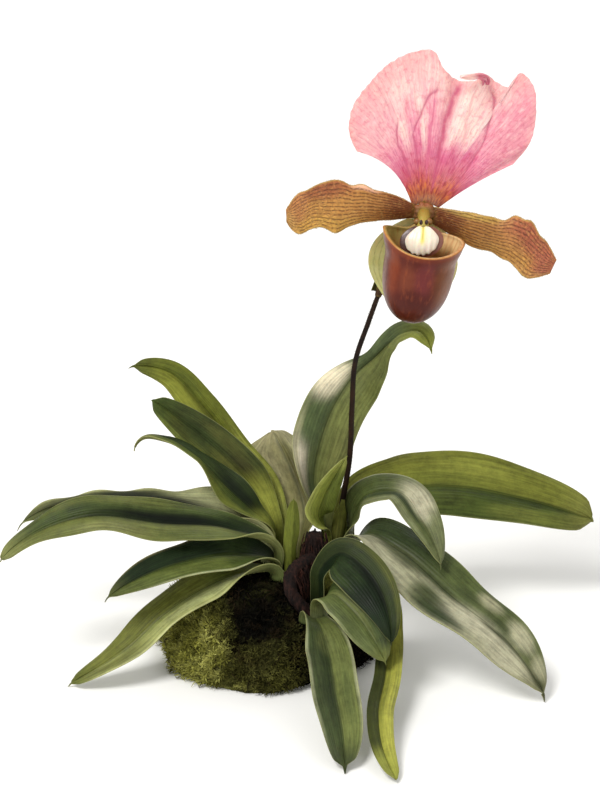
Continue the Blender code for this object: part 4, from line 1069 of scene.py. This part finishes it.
def add_shield():
    """The fluted white shield with its yellow middle, and the dark ring behind it."""
    finish = waxy_finish("shield", 0.32)
    across, front, up, faces = sphere_points(60, 96)
    wide, thick, tall = STAMINODE_HALF
    notch = 0.14 * bump_at(across, 0, 0.25) * np.maximum(0, up)
    dish = 0.9 * (1 - across**2) * (1 - up**2)

    ahead, below = np.maximum(0, -front), np.maximum(0, -up)
    waves = np.cos(19 * across)
    x = across * wide * (1 - 0.26 * smooth_step(up))
    z = (up - notch + 0.05 * waves * below) * tall
    carved = 0.14 * waves * (1 - up**2) * ahead - 0.25 * bump_at(across, 0, 0.12) * ahead
    y = front * thick - dish + 0.45 * z - 0.1 + carved
    tint = blend((253, 244, 224), (238, 224, 206), smooth_step(np.abs(across)))
    stripe = bump_at(across, 0, 0.16) * smooth_step((up + 0.4) / 0.5)
    tint = blend(tint, (240, 228, 92), 0.9 * stripe)
    tint = blend(tint, (176, 158, 70), 0.7 * bump_at(across, 0, 0.05) * smooth_step((up + 0.1) / 0.5))
    tint = blend(tint, (222, 206, 196), 0.5 * smooth_step(0.5 - 0.5 * waves) * smooth_step(-up + 0.3))
    points = STAMINODE + np.stack([x + 0.1 * z, y, z * 0.92], axis=-1)
    mesh_piece("staminode_shield", points, faces, "staminode", finish, tint=tint)

    x, z = across * wide * 1.3, (up - notch) * tall * 1.08 - 0.7
    y = front * thick * 0.5 - dish + 0.45 * z + 1.0
    speckle = np.sin(37 * across + 11 * up) * np.sin(29 * up - 8 * across)
    tint = blend((64, 30, 26), (128, 78, 62), smooth_step(0.5 + 0.7 * across + 0.3 * speckle))
    points = STAMINODE + np.stack([x + 0.1 * z, y, z * 0.92], axis=-1)
    mesh_piece("staminode_ring", points, faces, None, finish, tint=tint)


def add_boss():
    """The small hairy boss where the sepals and petals meet, in front of the ovary's end."""
    across, front, up, faces = sphere_points(40, 60)
    ways = np.stack([across, front, up], axis=-1)
    bumps = 1 + 0.05 * np.sin(9 * across + 4 * up) + 0.04 * np.sin(13 * up)
    points = FLOWER + np.array([0, -0.8, 0.3]) + ways * BOSS_HALF * bumps[..., None]
    tint = blend((150, 132, 54), (122, 76, 38), smooth_step(np.abs(across) * 1.3))
    tint = blend(tint, (150, 84, 46), smooth_step((up - 0.3) / 0.6))
    mesh_piece("boss", points, faces, None, waxy_finish("boss", 0.6, 0.05), tint=tint)
    ways = unit(ways.reshape(-1, 3))
    chosen = np.random.default_rng(SEEDS["boss"]).choice(np.flatnonzero(ways[:, 1] < 0.2), BOSS_HAIRS)
    hairs("boss_hairs", "boss_hair", "boss", points.reshape(-1, 3)[chosen], ways[chosen])


def add_column():
    start = FLOWER + [0, -0.3, 0]
    path = smooth_path([start, start + [-0.3, -5, -0.6], STAMINODE + [0.2, 3.4, 1.3]], 40)
    radii = np.interp(np.linspace(0, 1, 40), [0, 0.5, 1], [2.1, 1.9, 2.0])
    points, _, along, _ = tube_points(path, radii, 32)
    tint = blend((150, 120, 48), (176, 160, 72), smooth_step(along))
    finish = waxy_finish("column", 0.4)
    mesh_piece("column_body", points, tube_faces(*along.shape), "column", finish, tint=tint)
    *ball, faces = sphere_points(20, 28)
    ball = np.stack(ball, axis=-1)
    for side in (-1, 1):
        anther = path[28] + np.array([side * 1.9, 0.2, 0.9]) + ball * 1.1
        spot = STAMINODE + np.array([0.5 + side * 0.85, 1.4, 5.3]) + ball * [0.55, 0.6, 0.85]
        for name, shape, colour in (("anther", anther, (134, 96, 44)), ("dark_spot", spot, (52, 26, 22))):
            tint = np.broadcast_to(linear(colour), ball.shape)
            mesh_piece(f"{name}_{side + 1}", shape, faces, None, finish, tint=tint)


# Stalk

SCAPE_PATH = [
    (18.5, 9, 27.5), (20.5, 10, 45), (23.4, 9, 66), (24, 7.5, 85), (25, 6.5, 102), (29, 5.6, 115.5),
    (32, 4.8, 125),
]
OVARY_PATH = [(32.0, 4.8, 124.9), (35.5, 6.2, 134), (40, 7.6, 143), (44.2, 6.8, 151), (46, 3.6, 155), FLOWER]
STALK_SIDES = 30
# Each part: name, path, rows, radii along it, dark and light colour, number of hairs and their first row.
STALK_PARTS = [
    ("scape", SCAPE_PATH, 220, [1.0, 0.9, 0.8], (22, 13, 7), (42, 25, 12), 2600, 8),
    ("ovary", OVARY_PATH, 120, [1.0, 1.9, 2.3, 2.2, 2.0, RECEPTACLE_RADIUS],
     (70, 48, 30), (132, 116, 50), 1800, 2),
]


def stalk_finish(name, dark, light):
    net = Net(name)
    turn, along, _ = net.blade()
    ribs = net.size(net.math("SINE", net.times(turn, 19.0)))
    colour = net.mix(net.step(net.noise(240.0, 4.0), 0.35, 0.68), dark, light)
    colour = net.mix(net.times(net.step(ribs, 0.0, 0.4, 1.0, 0.0), 0.4), colour, (36, 18, 14))
    colour = net.mix(net.step(along, 0.9, 1.0, 0.0, 0.9), colour, light)
    lifted = net.bump(net.noise(2200.0, 3.0), 0.0001, 0.8, net.bump(ribs, 0.0002, 0.6))
    return net.done(colour, 0.6, 0.15, lifted)


def add_stalk():
    rng = np.random.default_rng(SEEDS["stalk"])
    for name, way, count, radii, dark, light, number, first in STALK_PARTS:
        thick = np.interp(np.linspace(0, 1, count), np.linspace(0, 1, len(radii)), radii)
        points, ring, along, turn = tube_points(smooth_path(way, count), thick, STALK_SIDES)
        if name == "ovary":
            points = points + ring * (0.16 * np.cos(6 * turn * TURN))[..., None]
        finish = stalk_finish(name, dark, light)
        mesh_piece(f"{name}_stem", points, tube_faces(count, STALK_SIDES), name, finish,
                   blade=np.stack([turn, along, along], axis=-1))
        rows = rng.integers(first, count - 4, number)
        sides = rng.integers(0, STALK_SIDES, number)
        places = points[rows, sides] + rng.normal(0, 0.12, (number, 3))
        hairs(f"{name}_hairs", f"{name}_hair", "stalk", places, ring[rows, sides])


def sheath_piece(name, path, first_normal, ring, half_angle, light, dark, node):
    """A sheath that clasps the stalk at its foot and narrows to its tip."""
    _, normals, sides = carried_frames(path, first_normal)
    across, along = grid(-1, 1, 41, len(path))
    angle = (across * math.radians(half_angle) * (1 - 0.85 * smooth_step((along - 0.45) / 0.55)))[..., None]
    middle = path[:, None] + ring * (sides[:, None] * np.sin(angle) - normals[:, None] * np.cos(angle))
    tint = blend(dark, light, smooth_step(along))
    # The blade's outer side is the one away from the stalk.
    blade_piece(name, middle[:, ::-1], across[:, ::-1], along, THIN_HALF_THICK, tint, tint * 0.9, node,
                bpy.data.materials["leaf"])


def add_sheaths():
    sheath_piece("scape_sheath_blade", smooth_path(SCAPE_PATH, 238)[4:57], (0, 1, 0), 2.1, 125,
                 (120, 124, 56), (92, 92, 46), "scape_sheath")
    sheath_piece("bract_blade", smooth_path(OVARY_PATH, 157)[4:66], (0, -1, 0), 2.7, 74,
                 (142, 146, 74), (96, 88, 48), "bract")


# Clump, rhizome and root

MOSS_SHOOTS = 8000
MOSS_SPRIGS = 1400
MOSS_ROOTLETS = 420
STUMP_FIBRES = 95
FIBRES = 300
ROOT_HAIRS = 900
ROOT_ROWS = 90
ROOT_SIDES = 16
STRAND_SIDES = 4
ROOT_PATH = [
    (12.5, -21.4, 16), (15, -24, 16.8), (18.5, -28, 18.5), (21, -31.5, 16), (22.5, -34, 9), (23, -35.5, 2),
]


def remeshed(node, voxel):
    """Points, normals and faces of a solid with even small faces, ready to be roughened."""
    piece = placed(f"{node}_even", NODES[node].data.copy())
    change = piece.modifiers.new("remesh", "REMESH")
    change.mode = "VOXEL"
    change.voxel_size = voxel * MM
    relax = piece.modifiers.new("smooth", "SMOOTH")
    relax.iterations = 2
    relax.factor = 0.5
    made = bpy.data.meshes.new_from_object(piece.evaluated_get(bpy.context.evaluated_depsgraph_get()))
    bpy.data.objects.remove(piece, do_unlink=True)
    read = {}
    for field in ("co", "normal"):
        read[field] = np.zeros(len(made.vertices) * 3)
        made.vertices.foreach_get(field, read[field])
    faces = [list(face.vertices) for face in made.polygons]
    return read["co"].reshape(-1, 3) / MM, read["normal"].reshape(-1, 3), faces


def noise_at(points, scale, shift=0.0):
    return np.array([noise.noise(Vector(point * scale + shift)) for point in points])


def moss_tint(points, shift=0.0):
    """Near black on top and in the middle, which is painted shade under the leaves; olive and bright green
    towards the left and the rim.
    """
    x, y, _ = points.T
    left = smooth_step((-14 - x) / 16)
    rim = smooth_step((np.hypot((x + 4.5) / 37.5, y / 34) - 0.86) / 0.14) * smooth_step((-x + 12) / 30)
    patch = np.clip(1.6 * noise_at(points, 0.08, 3.1 + shift), -0.2, 1)
    green = np.clip(0.9 * left + 0.35 * rim + 0.5 * patch * (0.25 + left + rim), 0, 1)
    bright = np.clip(0.25 + 1.8 * noise_at(points, 0.25, 9.7 + shift), 0, 1) * green
    brown = np.clip(1.5 * noise_at(points, 0.2, 5.3 + shift) - 0.15, 0, 1) * (1 - green)
    # The near black is painted shade under the leaves.
    tint = blend(blend((12, 11, 7), (140, 142, 72), green), (184, 186, 116), bright)
    return blend(tint, (58, 44, 28), 0.6 * brown)


def soil_finish():
    net = Net("moss")
    tint = net.tint()
    coarse = net.noise(420.0, 5.0, 0.7)
    colour = net.mix(net.step(coarse, 0.35, 0.65, 0.0, 0.7), tint, net.dyed(tint, (120, 110, 90)))
    fine = net.bump(net.noise(1800.0, 4.0, 0.7), 0.0003, 0.8)
    return net.done(colour, 0.95, 0.05, net.bump(coarse, 0.0012, 1.0, fine))


def add_clump():
    points, normals, faces = remeshed("moss_clump", 0.9)
    inside = smooth_step((points[:, 2] - 0.3) / 1.5)
    rough = 2.6 * noise_at(points, 0.09) + 1.5 * noise_at(points, 0.24, 4.0) + 0.6 * noise_at(points, 0.8)
    points = points + normals * (rough * inside)[:, None]
    points[:, 2] = np.maximum(points[:, 2], 0.0)
    mesh_piece("moss_soil", points, faces, "moss_clump", soil_finish(), tint=moss_tint(points) * 0.7)
    rng = np.random.default_rng(SEEDS["moss"])
    outside = np.flatnonzero((points[:, 2] > 1.2) & (normals[:, 2] > -0.25) & open_places(points))
    tufts = np.clip(0.7 + 1.6 * noise_at(points, 0.35, 7.7), 0.2, 1.6)
    ground = (points, normals, tufts)
    add_moss("moss_shoots", ground, rng.choice(outside, MOSS_SHOOTS), (0.7, 1.9), 0.2, 6, rng)
    left = outside[(moss_tint(points[outside], 1.0)[:, 1] > 0.05)]
    add_moss("moss_sprigs", ground, rng.choice(left, MOSS_SPRIGS), (1.6, 3.0), 0.16, 8, rng)
    add_moss_fibres(points, normals, outside, rng)


def open_places(points):
    """True where a point isn't inside the ring of leaf feet round a shoot."""
    free = np.ones(len(points), bool)
    for x, y, _ in SHOOTS.values():
        near = np.hypot(points[:, 0] - x, points[:, 1] - y) < 6.5
        free &= ~(near & (points[:, 2] > 16))
    return free


def add_moss(name, ground, chosen, lengths, width, leaflets, rng):
    """Moss shoots: each is a whorl of small folded leaflets that lean outwards, in soft tufts."""
    spots, normals, tufts = [field[chosen] for field in ground]
    count = len(chosen)
    places = spots + rng.normal(0, 0.4, (count, 3))
    places[:, 2] = np.maximum(places[:, 2], 0.8)
    grow = unit(normals + [0, 0, 0.5] + rng.normal(0, 0.5, (count, 3)))
    helper = unit(np.cross(grow, [0.31, 0.17, 0.94]))
    other = np.cross(grow, helper)
    colour = moss_tint(places, 1.0)
    points, faces, tints = [], [], []
    for k in range(leaflets):
        turn = TURN * k / leaflets + rng.uniform(0, 1.2, count)
        out = helper * np.cos(turn)[:, None] + other * np.sin(turn)[:, None]
        side = np.cross(grow, out)
        length = rng.uniform(*lengths, (count, 1))
        root = places + grow * tufts[:, None] * rng.uniform(0.0, 1.0, (count, 1))
        middle = root + out * length * 0.45 + grow * length * 0.35
        tip = root + out * length * 0.8 + grow * length * rng.uniform(0.3, 1.1, (count, 1))
        corners = [root, middle - side * width, tip, middle + side * width, middle - grow * 0.12]
        points.append(np.stack(corners, axis=1))
        base = 5 * count * k + np.arange(count)[:, None] * 5
        faces += [base + [0, 1, 4], base + [4, 1, 2], base + [0, 4, 3], base + [4, 2, 3]]
        shade = rng.uniform(0.6, 1.6, (count, 1))
        tints.append(np.repeat((colour * shade)[:, None], 5, axis=1))
    points = np.concatenate(points).reshape(-1, 3)
    points[:, 2] = np.maximum(points[:, 2], 0.3)
    mesh_piece(name, points, np.concatenate(faces), None, moss_finish(name), False,
               tint=np.concatenate(tints))


def moss_finish(name):
    net = Net(name)
    tint = net.tint()
    return net.done(net.mix(net.noise(900.0), tint, net.dyed(tint, (210, 200, 140))), 0.8, 0.08)


def add_strand(points, faces, path, radii):
    """One thin tube more in the lists of points and faces, where all have as many rows."""
    start = len(points) * len(path) * STRAND_SIDES
    points.append(tube_points(path, radii, STRAND_SIDES)[0])
    faces += [[start + corner for corner in face] for face in tube_faces(len(path), STRAND_SIDES)]


def add_moss_fibres(ground, normals, outside, rng):
    """Fine black and brown rootlets that straggle over the clump."""
    points, faces, tints = [], [], []
    for start in rng.choice(outside, MOSS_ROOTLETS):
        place, way = ground[start], normals[start]
        drift = unit(np.array([rng.normal(0, 1), rng.normal(0, 1), -0.6]))
        drift = drift - way * (drift @ way)
        reach = rng.uniform(3, 8)
        path = [place + way * h + drift * reach * u for u, h in ((0, 0.2), (0.35, 1.9), (0.7, 1.7), (1, 0.3))]
        path = np.array(path) + rng.normal(0, 0.35, (4, 3))
        path[:, 2] = np.maximum(path[:, 2], 0.4)
        add_strand(points, faces, smooth_path(path, 10), np.linspace(0.12, 0.05, 10))
        tints.append(np.tile(linear((40, 30, 20)) * rng.uniform(0.3, 1.6), (10 * STRAND_SIDES, 1)))
    mesh_piece("moss_fibres", np.concatenate(points), faces, None, moss_finish("moss_fibre"),
               tint=np.concatenate(tints))


def bark_finish(name, dark, light):
    net = Net(name)
    stretched = net.node("ShaderNodeVectorMath", operation="MULTIPLY")
    net.put(stretched.inputs[0], net.node("ShaderNodeTexCoord").outputs["Object"])
    stretched.inputs[1].default_value = (1, 1, 0.25)
    fibre = net.noise(1100.0, 5.0, 0.7, stretched.outputs[0])
    colour = net.mix(net.step(fibre, 0.35, 0.65), dark, light)
    colour = net.mix(net.step(net.noise(200.0, 4.0), 0.45, 0.6, 0.0, 0.6), colour, (12, 9, 8))
    return net.done(colour, 0.85, 0.2, net.bump(fibre, 0.0008, 1.0))


def add_rhizome():
    points, normals, faces = remeshed("rhizome", 0.5)
    rough = 0.5 * noise_at(points * [1, 1, 0.4], 0.5) + 0.3 * noise_at(points * [1, 1, 0.3], 1.6)
    points = points + normals * rough[:, None] * 0.9
    bark = bark_finish("rhizome_bark", (12, 8, 7), (52, 30, 24))
    mesh_piece("rhizome_stem", points, faces, "rhizome", bark)
    add_fibres()
    radii = np.interp(np.linspace(0, 1, ROOT_ROWS), [0, 0.5, 1], [1.2, 1.2, 0.8])
    radii = radii * (1 + 0.08 * np.sin(np.arange(ROOT_ROWS) * 0.9))
    tube, ring, _, _ = tube_points(smooth_path(ROOT_PATH, ROOT_ROWS), radii, ROOT_SIDES)
    skin = bark_finish("root_skin", (30, 20, 14), (70, 46, 30))
    mesh_piece("root_strand", tube, tube_faces(ROOT_ROWS, ROOT_SIDES), "root", skin)
    rng = np.random.default_rng(SEEDS["root"])
    rows = rng.integers(4, ROOT_ROWS - 2, ROOT_HAIRS)
    sides = rng.integers(0, ROOT_SIDES, ROOT_HAIRS)
    hairs("root_hairs", "root_hair", "root", tube[rows, sides], ring[rows, sides])


def add_fibres():
    """Dry fibres round the old stump and the creeping stem, each a thin four-sided strand."""
    rng = np.random.default_rng(SEEDS["fibre"])
    points, faces = [], []
    for number in range(FIBRES):
        turn = rng.uniform(0, TURN)
        out = np.array([math.cos(turn), math.sin(turn), 0])
        if number < STUMP_FIBRES:
            lean = np.array([math.cos(turn + 0.3), math.sin(turn + 0.3), 0])
            top = np.array([11.5, -3, rng.uniform(34, 43.5)]) + 3.6 * out
            end = np.array([11.5, -3, rng.uniform(24, 31)]) + 5.3 * lean
        else:
            along = rng.uniform(0, 1)
            stem = np.array([11 - 7.6 * along, -7 - 9 * along, 35.5 - 2 * along])
            top = stem + 2.2 * out + [0, 0, rng.uniform(-0.5, 2.0)]
            end = stem + 2.8 * out + [3 * along, 0, rng.uniform(-11, -7)]
        bulge = (top + end) / 2 + 0.7 * out + [0, 0, rng.uniform(-1, 1)]
        path = smooth_path([top, bulge, end], 9)
        path[1:-1] += rng.normal(0, 0.12, (7, 3))
        add_strand(points, faces, path, np.full(9, rng.uniform(0.1, 0.26)))
    mesh_piece("rhizome_fibres", np.concatenate(points), faces, None,
               bark_finish("fibre", (18, 11, 9), (72, 40, 30)))


# Camera, floor, world and lights

CAMERA_PLACE = (0.0066, -0.67993, 0.36511)
CAMERA_AIM = (0.0066, 0.0, 0.0904)
LENS = 100.0
LIGHT_AIM = (0.01, 0, 0.09)
# Each light: place, diameter, power and colour.
LIGHTS = {
    "key": ((-1.2, -1.4, 2.7), 1.2, 80.0, (1.0, 0.985, 0.96)),
    "fill": ((2.2, -2.0, 1.2), 2.2, 11.0, (0.97, 0.98, 1.0)),
    "back": ((0.7, 2.0, 2.2), 1.4, 18.0, (1.0, 0.99, 0.97)),
}
FLOOR_RADIUS = 6.0
WORLD_COLOUR = (1.0, 0.99, 0.97, 1)
WORLD_STRENGTH = 0.6


def add_camera():
    data = bpy.data.cameras.new("camera")
    data.lens = LENS
    data.clip_end = 20
    bpy.context.scene.camera = placed("camera", data, CAMERA_PLACE, CAMERA_AIM)


def add_stage():
    bm = bmesh.new()
    bmesh.ops.create_circle(bm, cap_ends=True, segments=96, radius=FLOOR_RADIUS)
    mesh = bpy.data.meshes.new("floor")
    bm.to_mesh(mesh)
    bm.free()
    net = Net("floor")
    tone = net.times(net.noise(3.0), 0.2)
    colour = net.mix(tone, np.array([0.94, 0.94, 0.93]), np.array([0.90, 0.90, 0.89]))
    mesh.materials.append(net.done(colour, 0.9))
    placed("floor", mesh, (0, 0, -0.0001))
    world = bpy.data.worlds.new("studio")
    bpy.context.scene.world = world
    world.use_nodes = True
    background = world.node_tree.nodes["Background"]
    background.inputs["Color"].default_value = WORLD_COLOUR
    background.inputs["Strength"].default_value = WORLD_STRENGTH
    for name, (place, size, power, colour) in LIGHTS.items():
        data = bpy.data.lights.new(name, "AREA")
        data.shape = "DISK"
        data.size = size
        data.energy = power
        data.color = colour
        placed(name, data, place, LIGHT_AIM)


bpy.context.scene.view_settings.view_transform = "Standard"
add_camera()
add_stage()
add_leaves()
add_dorsal()
add_petals()
add_synsepal()
add_pouch()
add_shield()
add_column()
add_boss()
add_stalk()
add_sheaths()
add_clump()
add_rhizome()
